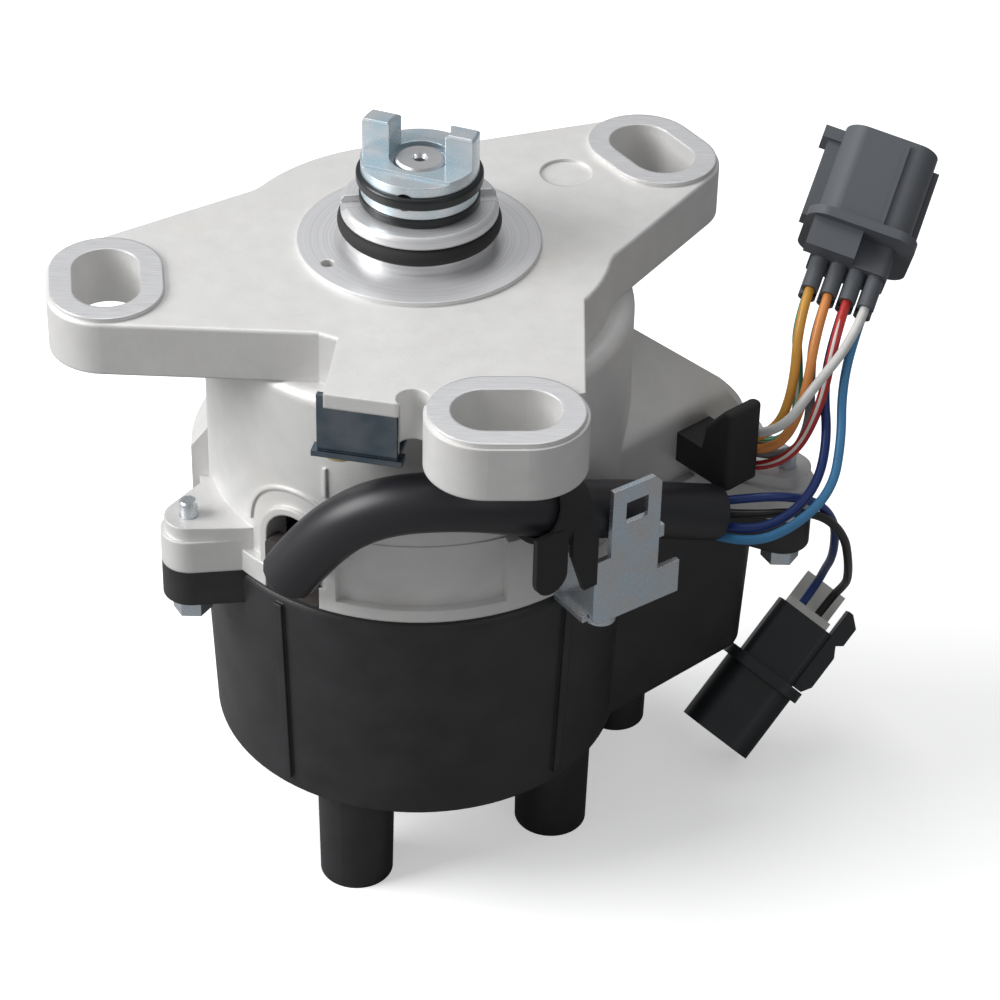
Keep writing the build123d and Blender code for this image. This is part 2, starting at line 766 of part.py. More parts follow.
with BuildPart() as distributor_cap:
    with BuildSketch(section_plane(0)):
        with BuildLine():
            Polyline((0, joint_z), (0, cap_floor_z), (cap_floor_radius, cap_floor_z), (rim_radius, joint_z),
                     close=True)
        make_face()
        fillet(vertices().sort_by_distance((cap_floor_radius, 0, cap_floor_z))[0], floor_round)
    revolve(axis=Axis.Z)
    add(cap_chamber.part)
    for bolt, root, root_radius in lug_roots:
        with BuildSketch(Plane.XY.offset(joint_z)):
            add(lug_plan(bolt, root, root_radius, lug_radius))
        extrude(amount=-cap_lug_depth)

    # moulded ribs down the cup
    rib_sweep = degrees(rib_width / rim_radius)
    rib_top_z = joint_z - rib_margin
    rib_low_z = cap_floor_z + rib_margin
    for azimuth in rib_azimuths:
        with BuildSketch(section_plane(azimuth - rib_sweep / 2)):
            with BuildLine():
                Polyline((cap_wall_radius(rib_top_z, cap_wall / 2), rib_top_z),
                         (cap_wall_radius(rib_top_z, -rib_height), rib_top_z),
                         (cap_wall_radius(rib_low_z, -rib_height), rib_low_z),
                         (cap_wall_radius(rib_low_z, cap_wall / 2), rib_low_z), close=True)
            make_face()
        revolve(axis=Axis.Z, revolution_arc=rib_sweep)

    # hollow of the cup and of the coil chamber
    with BuildSketch(section_plane(0)):
        with BuildLine():
            Polyline((0, joint_z), (0, cap_floor_z + cap_wall), (cap_floor_radius - cap_wall, cap_floor_z + cap_wall),
                     (rim_radius - cap_wall, joint_z), close=True)
        make_face()
    revolve(axis=Axis.Z, mode=Mode.SUBTRACT)
    with BuildSketch(Plane.XY.offset(joint_z)):
        add(chamber_plan(cap_wall))
    extrude(amount=cap_wall - cap_depth, taper=cap_taper, mode=Mode.SUBTRACT)

    # towers, the bosses round their terminals, the coil boss and the brush holder
    with BuildSketch(Plane.XY.offset(cap_floor_z + cap_wall)):
        with PolarLocations(tower_circle_radius, tower_count, start_angle=tower_azimuth):
            Circle(tower_root_radius)
    extrude(amount=tower_end_z - cap_floor_z - cap_wall, taper=tower_taper)
    with BuildSketch(Plane.XY.offset(terminal_boss_z)):
        with PolarLocations(tower_circle_radius, tower_count, start_angle=tower_azimuth):
            Circle(terminal_boss_radius)
        Circle(brush_radius + brush_wall)
    extrude(amount=cap_floor_z + cap_wall / 2 - terminal_boss_z)
    with BuildSketch(Plane.XY.offset(cap_floor_z + cap_wall)):
        with Locations(coil_boss_place):
            Circle(coil_boss_radius)
    extrude(amount=coil_boss_end_z - cap_floor_z - cap_wall, taper=tower_taper)

    # lead sockets in the towers, terminal holes, brush bore, seal groove and screw holes
    with BuildSketch(Plane.XY.offset(tower_end_z)):
        with PolarLocations(tower_circle_radius, tower_count, start_angle=tower_azimuth):
            Circle(tower_bore_radius)
    extrude(amount=tower_bore_depth, mode=Mode.SUBTRACT)
    with BuildSketch(Plane.XY.offset(tower_end_z)):
        with PolarLocations(tower_circle_radius, tower_count, start_angle=tower_azimuth):
            Circle(terminal_radius + fit_gap)
    extrude(amount=terminal_tip_z - tower_end_z, mode=Mode.SUBTRACT)
    with BuildSketch(Plane.XY.offset(terminal_boss_z)):
        Circle(brush_radius + running_gap)
    extrude(amount=spring_seat_z - terminal_boss_z, mode=Mode.SUBTRACT)
    with BuildSketch(Plane.XY.offset(joint_z)):
        add(joint_plan(seal_inset))
        add(joint_plan(seal_inset + seal_width), mode=Mode.SUBTRACT)
    extrude(amount=-seal_depth, mode=Mode.SUBTRACT)
    with BuildSketch(Plane.XY.offset(joint_z)):
        with Locations(bolt_places):
            Circle(bolt_radius + fit_gap)
    extrude(amount=-cap_lug_depth, mode=Mode.SUBTRACT)

distributor_cap.part.label = "distributor_cap"
export_step(distributor_cap.part, "parts/distributor_cap.step")

# Rubber seal in the groove of the cap's joint face.
with BuildPart() as cap_seal:
    with BuildSketch(Plane.XY.offset(joint_z)):
        add(joint_plan(seal_inset + fit_gap))
        add(joint_plan(seal_inset + seal_width - fit_gap), mode=Mode.SUBTRACT)
    extrude(amount=-seal_depth)

cap_seal.part.label = "cap_seal"
export_step(cap_seal.part, "parts/cap_seal.step")

# Three hexagon screws with their washers, from the cap's side up through both lugs.
cap_lug_z = joint_z - cap_lug_depth
with BuildPart() as cap_bolts:
    with BuildSketch(Plane.XY.offset(cap_lug_z)):
        with Locations(bolt_places):
            Circle(washer_radius)
    extrude(amount=-washer_thickness)
    with BuildSketch(Plane.XY.offset(cap_lug_z - washer_thickness)):
        with Locations(bolt_places):
            RegularPolygon(hex_across_flats / 2, 6, major_radius=False)
    extrude(amount=-hex_height)
    with BuildSketch(Plane.XY.offset(cap_lug_z)):
        with Locations(bolt_places):
            Circle(bolt_radius)
    extrude(amount=rim_ledge_z + bolt_stand_out - cap_lug_z)
    chamfer(cap_bolts.faces().group_by(Axis.Z)[-1].edges(), bolt_tip_chamfer)

cap_bolts.part.label = "cap_bolts"
export_step(cap_bolts.part, "parts/cap_bolts.step")


# ------------------------------------------------------------------ drive shaft and coupling
def pin_section(radius):
    """Round section across the axis at the drive pin."""
    with BuildSketch(facing_plane(pin_azimuth, 0, pin_z), mode=Mode.PRIVATE) as section:
        Circle(radius)
    return section.sketch


# Ground shaft with a turned-down, centre-drilled top end and a cross hole.
with BuildPart() as drive_shaft:
    with BuildSketch(section_plane(0)):
        with BuildLine():
            Polyline((0, shaft_low), (shaft_radius, shaft_low), (shaft_radius, shaft_top - shaft_end_length),
                     (shaft_end_radius, shaft_top - shaft_end_length), (shaft_end_radius, shaft_top),
                     (0, shaft_top), close=True)
        make_face()
        chamfer(vertices().group_by(Axis.Y)[0].sort_by(Axis.X)[-1], shaft_chamfer)
        chamfer(vertices().group_by(Axis.Y)[-1].sort_by(Axis.X)[-1], shaft_chamfer)
    revolve(axis=Axis.Z)
    with Locations((0, 0, shaft_top)):
        CounterSinkHole(centre_hole_radius, 1.4 * centre_hole_radius, centre_hole_depth, 60)
    extrude(pin_section(pin_radius + fit_gap), amount=coupling_radius, both=True, mode=Mode.SUBTRACT)

drive_shaft.part.label = "drive_shaft"
export_step(drive_shaft.part, "parts/drive_shaft.step")

# Zinc-plated coupling with two uneven tangs, set a little off the axis so it fits only one way.
with BuildPart() as drive_coupling:
    with BuildSketch(section_plane(0)):
        with BuildLine():
            Polyline((shaft_radius + fit_gap, coupling_low), (coupling_radius, coupling_low),
                     (coupling_radius, ring_low), (coupling_groove_radius, ring_low),
                     (coupling_groove_radius, ring_low + ring_height),
                     (coupling_radius, ring_low + ring_height), (coupling_radius, coupling_top),
                     (coupling_recess_radius, coupling_top),
                     (coupling_recess_radius, coupling_top - coupling_recess_depth),
                     (shaft_radius + fit_gap, coupling_top - coupling_recess_depth), close=True)
        make_face()
    revolve(axis=Axis.Z)
    with BuildSketch(Plane.XY.offset(coupling_top)):
        with Locations(Location((0, 0, 0), (0, 0, tang_azimuth))):
            for side in (-1, 1):
                with Locations((0, side * coupling_land_width)):
                    Rectangle(4 * coupling_radius, coupling_land_width)
    extrude(amount=-coupling_land_step, mode=Mode.SUBTRACT)
    with BuildSketch(Plane.XY.offset(coupling_top)):
        with Locations(Location((0, 0, 0), (0, 0, tang_azimuth))):
            with Locations((0, tang_offset)):
                Rectangle(3 * coupling_radius, tang_width)
        Circle(coupling_radius, mode=Mode.INTERSECT)
        Circle(coupling_recess_radius, mode=Mode.SUBTRACT)
    extrude(amount=tang_height)
    chamfer(drive_coupling.faces().group_by(Axis.Z)[-1].edges(), tang_chamfer)
    extrude(pin_section(pin_radius + fit_gap), amount=coupling_radius, both=True, mode=Mode.SUBTRACT)

drive_coupling.part.label = "drive_coupling"
export_step(drive_coupling.part, "parts/drive_coupling.step")

# Pin through the coupling and the shaft, held in by the ring in the coupling's groove.
with BuildPart() as coupling_pin:
    extrude(pin_section(pin_radius), amount=coupling_groove_radius - pin_radius / 4, both=True)

coupling_pin.part.label = "coupling_pin"
export_step(coupling_pin.part, "parts/coupling_pin.step")

with BuildPart() as coupling_retaining_ring:
    with BuildSketch(section_plane(0)):
        with Locations((coupling_groove_radius + fit_gap, ring_low + fit_gap)):
            Rectangle(ring_outer_radius - coupling_groove_radius - fit_gap, ring_height - 2 * fit_gap,
                      align=(Align.MIN, Align.MIN))
        fillet(vertices().group_by(Axis.X)[-1], ring_round)
    revolve(axis=Axis.Z)

coupling_retaining_ring.part.label = "coupling_retaining_ring"
export_step(coupling_retaining_ring.part, "parts/coupling_retaining_ring.step")

with BuildPart() as thrust_ring:
    with BuildSketch(section_plane(0)):
        with Locations((shaft_radius + fit_gap, thrust_ring_low)):
            Rectangle(thrust_ring_radius - shaft_radius - fit_gap, coupling_low - thrust_ring_low,
                      align=(Align.MIN, Align.MIN))
        fillet(vertices().group_by(Axis.X)[-1], thrust_ring_round)
    revolve(axis=Axis.Z)

thrust_ring.part.label = "thrust_ring"
export_step(thrust_ring.part, "parts/thrust_ring.step")

# ------------------------------------------------------------------ nose seals, bush and bearing
with BuildPart() as nose_o_ring:
    with BuildSketch(section_plane(0)):
        with Locations((o_ring_outer - o_ring_radius, o_ring_z)):
            Circle(o_ring_radius)
    revolve(axis=Axis.Z)

nose_o_ring.part.label = "nose_o_ring"
export_step(nose_o_ring.part, "parts/nose_o_ring.step")

# Lip seal: a cased ring with a garter-spring lip that runs on the shaft.
with BuildPart() as oil_seal:
    with BuildSketch(section_plane(0)):
        with BuildLine():
            Polyline((shaft_radius + running_gap, seal_low), (seal_radius - fit_gap, seal_low),
                     (seal_radius - fit_gap, seal_low + seal_height),
                     (seal_radius - seal_case, seal_low + seal_height),
                     (seal_radius - seal_case, seal_low + seal_case),
                     (shaft_radius + seal_case, seal_low + seal_case),
                     (shaft_radius + seal_case, seal_low + seal_height - seal_case),
                     (shaft_radius + running_gap, seal_low + seal_case), close=True)
        make_face()
    revolve(axis=Axis.Z)

oil_seal.part.label = "oil_seal"
export_step(oil_seal.part, "parts/oil_seal.step")

with BuildPart() as shaft_bush:
    with BuildSketch(Plane.XY.offset(bush_low)):
        Circle(bush_radius - fit_gap)
        Circle(shaft_radius + running_gap, mode=Mode.SUBTRACT)
    extrude(amount=bush_high - bush_low)

shaft_bush.part.label = "shaft_bush"
export_step(shaft_bush.part, "parts/shaft_bush.step")

pitch_radius = (shaft_radius + bearing_outside / 2) / 2
bearing_z = bearing_top - bearing_width / 2


def race_section(inner, outer):
    """Section of a bearing race with the ball groove cut from it."""
    with BuildSketch(mode=Mode.PRIVATE) as section:
        with Locations((inner, bearing_z)):
            Rectangle(outer - inner, bearing_width, align=(Align.MIN, Align.CENTER))
        with Locations((pitch_radius, bearing_z)):
            Circle(ball_radius + running_gap, mode=Mode.SUBTRACT)
    return section.sketch


with BuildPart() as bearing_outer_race:
    with BuildSketch(section_plane(0)):
        add(race_section(bearing_outside / 2 - race_wall, bearing_outside / 2 - fit_gap))
    revolve(axis=Axis.Z)

bearing_outer_race.part.label = "bearing_outer_race"
export_step(bearing_outer_race.part, "parts/bearing_outer_race.step")

with BuildPart() as bearing_inner_race:
    with BuildSketch(section_plane(0)):
        add(race_section(shaft_radius + fit_gap, shaft_radius + race_wall))
    revolve(axis=Axis.Z)

bearing_inner_race.part.label = "bearing_inner_race"
export_step(bearing_inner_race.part, "parts/bearing_inner_race.step")

with BuildPart() as bearing_balls:
    with PolarLocations(pitch_radius, ball_count):
        with Locations((0, 0, bearing_z)):
            Sphere(ball_radius)

bearing_balls.part.label = "bearing_balls"
export_step(bearing_balls.part, "parts/bearing_balls.step")

# Cage: a slim ring with a round pocket for each ball.
with BuildPart() as bearing_cage:
    with BuildSketch(Plane.XY.offset(bearing_z)):
        Circle(pitch_radius + cage_width / 2)
        Circle(pitch_radius - cage_width / 2, mode=Mode.SUBTRACT)
    extrude(amount=cage_thickness / 2, both=True)
    with PolarLocations(pitch_radius, ball_count):
        with Locations((0, 0, bearing_z)):
            Cylinder(ball_radius + ball_gap, 2 * cage_width, rotation=(0, 90, 0), mode=Mode.SUBTRACT)

bearing_cage.part.label = "bearing_cage"
export_step(bearing_cage.part, "parts/bearing_cage.step")

with BuildPart() as bearing_circlip:
    with BuildSketch(section_plane(circlip_opening / 2)):
        with Locations((bearing_outside / 2 + circlip_depth - fit_gap, circlip_z - fit_gap)):
            Rectangle(circlip_width, circlip_thickness, align=(Align.MAX, Align.MAX))
    revolve(axis=Axis.Z, revolution_arc=360 - circlip_opening)

bearing_circlip.part.label = "bearing_circlip"
export_step(bearing_circlip.part, "parts/bearing_circlip.step")

# ------------------------------------------------------------------ reluctors, pickups, plate and shield
reluctor_pitch = reluctor_thickness + reluctor_hub_height
phase_reluctor_z = crank_reluctor_z - reluctor_pitch
cylinder_reluctor_z = phase_reluctor_z - reluctor_pitch
reluctors = [
    ("crank_reluctor", crank_reluctor_radius, crank_tooth_height, crank_tooth_width, crank_teeth,
     crank_reluctor_z),
    ("phase_reluctor", phase_reluctor_radius, phase_tooth_height, phase_tooth_width, phase_teeth,
     phase_reluctor_z),
    ("cylinder_reluctor", phase_reluctor_radius, phase_tooth_height, phase_tooth_width, 1,
     cylinder_reluctor_z),
]

# Toothed wheels stacked on the shaft, each with a hub up to the next one.
for name, tip_radius, tooth_height, tooth_width, teeth, low_z in reluctors:
    with BuildPart() as reluctor:
        with BuildSketch(Plane.XY.offset(low_z)):
            Circle(tip_radius - tooth_height)
            with PolarLocations((tip_radius - tooth_height) / 2, teeth):
                Rectangle(tip_radius + tooth_height, tooth_width)
            Circle(tip_radius, mode=Mode.INTERSECT)
        extrude(amount=reluctor_thickness)
        with BuildSketch(Plane.XY.offset(low_z)):
            Circle(reluctor_root)
        extrude(amount=reluctor_pitch)
        with BuildSketch(Plane.XY.offset(low_z)):
            Circle(shaft_radius + fit_gap)
        extrude(amount=reluctor_pitch, mode=Mode.SUBTRACT)
    reluctor.part.label = name
    export_step(reluctor.part, f"parts/{name}.step")

# Ring plate that carries the pickups, let into the round body.
with BuildPart() as sensor_plate:
    with BuildSketch(Plane.XY.offset(sensor_plate_z)):
        Circle(plate_seat_radius - fit_gap)
        Circle(pickup_inner - 2, mode=Mode.SUBTRACT)
    extrude(amount=-sensor_plate_thickness)

sensor_plate.part.label = "sensor_plate"
export_step(sensor_plate.part, "parts/sensor_plate.step")

# One pickup for each reluctor: a coil block on the plate and a pole that reaches in to the teeth.
with BuildPart() as pickup_coils:
    for azimuth, (name, tip_radius, tooth_height, tooth_width, teeth, low_z) in zip(pickup_azimuths, reluctors):
        pole_z = low_z + reluctor_thickness / 2
        with BuildSketch(facing_plane(azimuth, pickup_inner)):
            with Locations((0, sensor_plate_z)):
                Rectangle(pickup_width, pole_z + pickup_pole - sensor_plate_z, align=(Align.CENTER, Align.MIN))
        extrude(amount=pickup_depth)
        with BuildSketch(facing_plane(azimuth, tip_radius + pickup_gap)):
            with Locations((0, pole_z)):
                Rectangle(pickup_pole, pickup_pole)
        extrude(amount=pickup_inner - tip_radius)
    fillet(pickup_coils.edges().filter_by(Axis.Z).filter_by(lambda e: e.length > 2 * pickup_pole), pickup_round)

pickup_coils.part.label = "pickup_coils"
export_step(pickup_coils.part, "parts/pickup_coils.step")

with BuildPart() as dust_shield:
    with BuildSketch(Plane.XY.offset(joint_z)):
        Circle(shield_seat_radius - fit_gap)
        Circle(shield_hole_radius, mode=Mode.SUBTRACT)
    extrude(amount=shield_z - joint_z)

dust_shield.part.label = "dust_shield"
export_step(dust_shield.part, "parts/dust_shield.step")

# ------------------------------------------------------------------ igniter and coil
with BuildPart() as igniter_module:
    with BuildSketch(Plane.XY.offset(deck_underside)):
        with Locations(igniter_place):
            RectangleRounded(igniter_size[0], igniter_size[1], igniter_round)
    extrude(amount=-igniter_size[2])
    chamfer(igniter_module.faces().sort_by(Axis.Z)[0].edges(), igniter_round / 2)

igniter_module.part.label = "igniter_module"
export_step(igniter_module.part, "parts/igniter_module.step")

# Moulded coil under the chamber roof, with its outlet pointing down into the cap.
coil_x, coil_y, coil_z = along_front(coil_along, coil_out)
with BuildPart() as ignition_coil:
    with BuildSketch(Plane.XY.offset(coil_top_z)):
        with Locations(Location((coil_x, coil_y, coil_z), (0, 0, front_angle))):
            RectangleRounded(coil_size, coil_size, coil_round)
    extrude(amount=-coil_height)
    fillet(ignition_coil.faces().sort_by(Axis.Z)[0].edges(), coil_round / 2)
    with BuildSketch(Plane.XY.offset(coil_top_z - coil_height)):
        with Locations((coil_x, coil_y)):
            Circle(coil_nozzle_radius)
    extrude(amount=cap_floor_z + cap_wall + coil_nozzle_gap - coil_top_z + coil_height)

ignition_coil.part.label = "ignition_coil"
export_step(ignition_coil.part, "parts/ignition_coil.step")

# ------------------------------------------------------------------ rotor, terminals and brush
# Rotor arm: hub blind-bored for the shaft, and a tapering arm that carries the electrode.
with BuildPart() as rotor_arm:
    with BuildSketch(Plane.XY.offset(rotor_arm_z)):
        Circle(rotor_hub_radius)
    extrude(amount=rotor_top_z - rotor_arm_z)
    with BuildSketch(Plane.XY.offset(rotor_arm_z)):
        Circle(rotor_tail_radius)
        with Locations((rotor_reach - rotor_nose_radius, 0)):
            Circle(rotor_nose_radius)
        make_hull()
    extrude(amount=-rotor_thickness)
    fillet(rotor_arm.faces().sort_by(Axis.Z)[0].edges(), rotor_edge_round)
    with BuildSketch(Plane.XY.offset(rotor_top_z)):
        Circle(shaft_radius + fit_gap)
    extrude(amount=shaft_low - rotor_bore_end - rotor_top_z, mode=Mode.SUBTRACT)
    with BuildSketch(facing_plane(180, 0, rotor_screw_z)):
        Circle(rotor_screw_radius + fit_gap)
    extrude(amount=2 * rotor_hub_radius, mode=Mode.SUBTRACT)

rotor_arm.part.label = "rotor_arm"
export_step(rotor_arm.part, "parts/rotor_arm.step")

electrode_tip_radius = tower_circle_radius - terminal_radius - spark_gap
with BuildPart() as rotor_electrode:
    with BuildSketch(Plane.XY.offset(rotor_arm_z - rotor_thickness)):
        Circle(electrode_centre_radius)
        Rectangle(electrode_tip_radius, electrode_width, align=(Align.MIN, Align.CENTER))
        Circle(electrode_tip_radius, mode=Mode.INTERSECT)
    extrude(amount=-electrode_thickness)

rotor_electrode.part.label = "rotor_electrode"
export_step(rotor_electrode.part, "parts/rotor_electrode.step")

with BuildPart() as rotor_screw:
    with BuildSketch(facing_plane(180, shaft_radius + fit_gap, rotor_screw_z)):
        Circle(rotor_screw_radius)
    extrude(amount=rotor_hub_radius - shaft_radius)
    with BuildSketch(facing_plane(180, rotor_hub_radius + fit_gap, rotor_screw_z)):
        Circle(rotor_screw_head_radius)
    extrude(amount=rotor_screw_head_height)

rotor_screw.part.label = "rotor_screw"
export_step(rotor_screw.part, "parts/rotor_screw.step")

# Four brass terminals, from the lead sockets up through the cap to the path of the electrode.
with BuildPart() as cap_terminals:
    socket_end_z = tower_end_z + tower_bore_depth
    with BuildSketch(Plane.XY.offset(socket_end_z)):
        with PolarLocations(tower_circle_radius, tower_count, start_angle=tower_azimuth):
            Circle(terminal_radius)
    extrude(amount=terminal_tip_z - socket_end_z)
    with BuildSketch(Plane.XY.offset(socket_end_z)):
        with PolarLocations(tower_circle_radius, tower_count, start_angle=tower_azimuth):
            Circle(terminal_pad_radius)
    extrude(amount=-terminal_pad_thickness)

cap_terminals.part.label = "cap_terminals"
export_step(cap_terminals.part, "parts/cap_terminals.step")

with BuildPart() as carbon_brush:
    with BuildSketch(Plane.XY.offset(brush_low_z)):
        Circle(brush_radius)
    extrude(amount=brush_length)
    chamfer(carbon_brush.faces().sort_by(Axis.Z)[-1].edges(), brush_chamfer)

carbon_brush.part.label = "carbon_brush"
export_step(carbon_brush.part, "parts/carbon_brush.step")

# Light coil spring between the foot of the bore and the brush.
with BuildPart() as brush_spring:
    spring_coil_length = spring_length - 2 * spring_wire_radius - 2 * fit_gap
    with BuildLine(Plane.XY.offset(spring_seat_z + spring_wire_radius + fit_gap)):
        wire_path = Helix(spring_coil_length / spring_turns, spring_coil_length,
                          brush_radius - 2 * spring_wire_radius)
    with BuildSketch(Plane(origin=wire_path @ 0, z_dir=wire_path % 0)):
        Circle(spring_wire_radius)
    sweep(path=wire_path, is_frenet=True)

brush_spring.part.label = "brush_spring"
export_step(brush_spring.part, "parts/brush_spring.step")

# ------------------------------------------------------------------ harness plate and tab bracket
# Folded zinc plate hung under the flange: a face, and a foot bent in to the round body.
plate_plane = facing_plane(plate_azimuth, plate_radius)
plate_low_z = plate_top_z - plate_height
plate_screw_point = facing_plane(plate_azimuth, plate_screw_out).from_local_coords((plate_screw_side, 0, 0))
plate_screw_place = (plate_screw_point.X, plate_screw_point.Y)
with BuildPart() as harness_plate:
    with BuildSketch(plate_plane):
        with Locations((0, plate_low_z)):
            Rectangle(plate_width, plate_height, align=(Align.CENTER, Align.MIN))
    extrude(amount=-sheet)
    with BuildSketch(facing_plane(plate_azimuth, plate_foot_end)):
        with Locations((0, plate_low_z)):
            Rectangle(plate_width, sheet, align=(Align.CENTER, Align.MIN))
    extrude(amount=plate_radius - plate_foot_end)
    with BuildSketch(facing_plane(plate_azimuth, plate_radius - 2 * sheet)):
        with Locations((0, plate_low_z)):
            Rectangle(plate_width + 2 * plate_ear, sheet, align=(Align.CENTER, Align.MIN))
    extrude(amount=2 * sheet + plate_lip)
    with BuildSketch(Plane.XY.offset(plate_low_z)):
        with Locations(plate_screw_place):
            Circle(plate_screw_radius + fit_gap)
    extrude(amount=sheet, mode=Mode.SUBTRACT)

harness_plate.part.label = "harness_plate"
export_step(harness_plate.part, "parts/harness_plate.step")

with BuildPart() as harness_plate_screw:
    with BuildSketch(Plane.XY.offset(plate_low_z)):
        with Locations(plate_screw_place):
            Circle(plate_screw_head_radius)
    extrude(amount=-plate_screw_head_height)
    with BuildSketch(Plane.XY.offset(plate_low_z)):
        with Locations(plate_screw_place):
            Circle(plate_screw_radius)
    extrude(amount=2 * sheet)

harness_plate_screw.part.label = "harness_plate_screw"
export_step(harness_plate_screw.part, "parts/harness_plate_screw.step")

# Upright tab bracket in front of the sleeve: a face with its tab, a side folded back to the round body with a
# lip along its foot, a screw foot behind the face, and a small hook behind the tab.
bracket_tab_right = bracket_right - bracket_right_width
bracket_screw_point = front_plane(bracket_offset - bracket_screw_spot, bracket_angle).from_local_coords(
    (bracket_left + bracket_screw_spot + bracket_lip, 0, 0))
bracket_screw_place = (bracket_screw_point.X, bracket_screw_point.Y)
with BuildPart() as tab_bracket:
    with BuildSketch(front_plane(bracket_offset, bracket_angle)):
        with BuildLine():
            Polyline((bracket_left, bracket_low_z),
                     (bracket_left, bracket_low_z + bracket_left_height),
                     (bracket_left + bracket_left_width, bracket_low_z + bracket_left_height),
                     (bracket_left + bracket_left_width, tab_top_z),
                     (bracket_tab_right - tab_corner, tab_top_z),
                     (bracket_tab_right, tab_top_z - tab_corner),
                     (bracket_tab_right, bracket_low_z + bracket_right_height),
                     (bracket_right, bracket_low_z + bracket_right_height),
                     (bracket_right, bracket_low_z), close=True)
        make_face()
        low_left = vertices().group_by(Axis.Z)[0].sort_by(Axis.X)[0]
        fillet(low_left, bracket_corner)
        with Locations(tab_hole):
            Rectangle(*tab_hole_size, mode=Mode.SUBTRACT)
    extrude(amount=-sheet)
    with BuildSketch(front_plane(bracket_side_end, bracket_angle)):
        with Locations((bracket_left, bracket_low_z)):
            Rectangle(sheet, bracket_side_height, align=(Align.MIN, Align.MIN))
        with Locations((bracket_left - bracket_lip, bracket_low_z)):
            Rectangle(sheet, sheet, align=(Align.MIN, Align.MIN))
    extrude(amount=bracket_offset - bracket_side_end - bracket_corner)
    with BuildSketch(front_plane(bracket_offset - bracket_corner, bracket_angle)):
        with Locations((bracket_left, bracket_low_z + bracket_corner)):
            Rectangle(sheet, bracket_side_height - bracket_corner, align=(Align.MIN, Align.MIN))
    extrude(amount=bracket_corner)
    with BuildSketch(front_plane(bracket_offset - bracket_foot_depth, bracket_angle)):
        with Locations((bracket_left, bracket_low_z)):
            Rectangle(bracket_foot_width, sheet, align=(Align.MIN, Align.MIN))
    extrude(amount=bracket_foot_depth - sheet)
    with BuildSketch(front_plane(bracket_offset - sheet, bracket_angle)):
        with Locations((bracket_tab_right, bracket_hook_z)):
            Rectangle(sheet, bracket_hook_size[1], align=(Align.MAX, Align.MIN))
    extrude(amount=-bracket_hook_depth)
    with BuildSketch(front_plane(bracket_offset - sheet - bracket_hook_depth + sheet, bracket_angle)):
        with Locations((bracket_tab_right - sheet, bracket_hook_z)):
            Rectangle(bracket_hook_size[0], bracket_hook_size[1], align=(Align.MIN, Align.MIN))
    extrude(amount=-sheet)
    with BuildSketch(Plane(origin=(0, 0, bracket_low_z))):
        with Locations(bracket_screw_place):
            Circle(bracket_screw_radius + fit_gap)
    extrude(amount=sheet, mode=Mode.SUBTRACT)

tab_bracket.part.label = "tab_bracket"
export_step(tab_bracket.part, "parts/tab_bracket.step")

with BuildPart() as tab_bracket_screw:
    with BuildSketch(Plane.XY.offset(bracket_low_z)):
        with Locations(bracket_screw_place):
            Circle(bracket_screw_head_radius)
    extrude(amount=-bracket_screw_head_height)
    with BuildSketch(Plane.XY.offset(bracket_low_z)):
        with Locations(bracket_screw_place):
            Circle(bracket_screw_radius)
    extrude(amount=2 * sheet)

tab_bracket_screw.part.label = "tab_bracket_screw"
export_step(tab_bracket_screw.part, "parts/tab_bracket_screw.step")

# ------------------------------------------------------------------ lead boot, grommet and strap
boot_width = boot_right - boot_left
boot_low_z = rim_ledge_z + fit_gap
boot_back = front_offset - shoulder_inset + fit_gap
boot_side = Plane(origin=along_front(boot_left, 0), x_dir=front_plane(0).z_dir, z_dir=-front_plane(0).x_dir)
with BuildPart() as lead_boot:
    with BuildSketch(boot_side):
        with BuildLine():
            Polyline((boot_back, boot_low_z), (boot_outer, boot_low_z), (boot_outer, boot_top_z),
                     ((boot_back + boot_outer) / 2, boot_top_z), (boot_back, boot_top_z - boot_back_drop),
                     close=True)
        make_face()
    extrude(amount=-boot_width)
    boot_face = lead_boot.faces().sort_by_distance(along_front(boot_left, 2 * boot_outer, boot_low_z))[0]
    fillet(boot_face.edges(), boot_round)

lead_boot.part.label = "lead_boot"
export_step(lead_boot.part, "parts/lead_boot.step")

with BuildPart() as lead_grommet:
    with BuildSketch(facing_plane(entry_azimuth, grommet_inner)):
        with Locations((0, joint_z)):
            Rectangle(entry_width - 2 * fit_gap, grommet_top_z - joint_z, align=(Align.CENTER, Align.MIN))
        fillet(vertices().group_by(Axis.Z)[-1], grommet_round)
        with Locations((-entry_lead_spacing / 2, entry_lead_z), (entry_lead_spacing / 2, entry_lead_z)):
            Circle(entry_lead_diameter / 2 + lead_gap, mode=Mode.SUBTRACT)
    extrude(amount=grommet_outer - grommet_inner)

lead_grommet.part.label = "lead_grommet"
export_step(lead_grommet.part, "parts/lead_grommet.step")


# ------------------------------------------------------------------ cords
def cord_path(points):
    """Straight runs joined by arcs as large as the runs allow."""
    places = [Vector(*point) for point in points]
    runs = [(after - before) for before, after in zip(places, places[1:])]
    radii = []
    for run, following in zip(runs, runs[1:]):
        turn = run.get_angle(following)
        radii.append(0.45 * min(run.length, following.length) / tan(radians(turn / 2)))
    return FilletPolyline(*places, radius=radii), radii


def cord_plane(points, index):
    """Plane across a cord at one of its points, facing along the run that follows."""
    here, after = Vector(*points[index]), Vector(*points[index + 1])
    return Plane(origin=here, z_dir=after - here)


cords = [("harness_sleeve", sleeve_route, sleeve_diameter)]
cords += [(name, route, entry_lead_diameter) for name, route in entry_lead_routes.items()]
cords += [(name, route, lead_diameter) for name, route in boot_lead_routes.items()]
cords += [(name, route, lead_diameter) for name, route in sleeve_lead_routes.items()]
cords += [(name, route, plug_lead_diameter) for name, route in plug_lead_routes.items()]

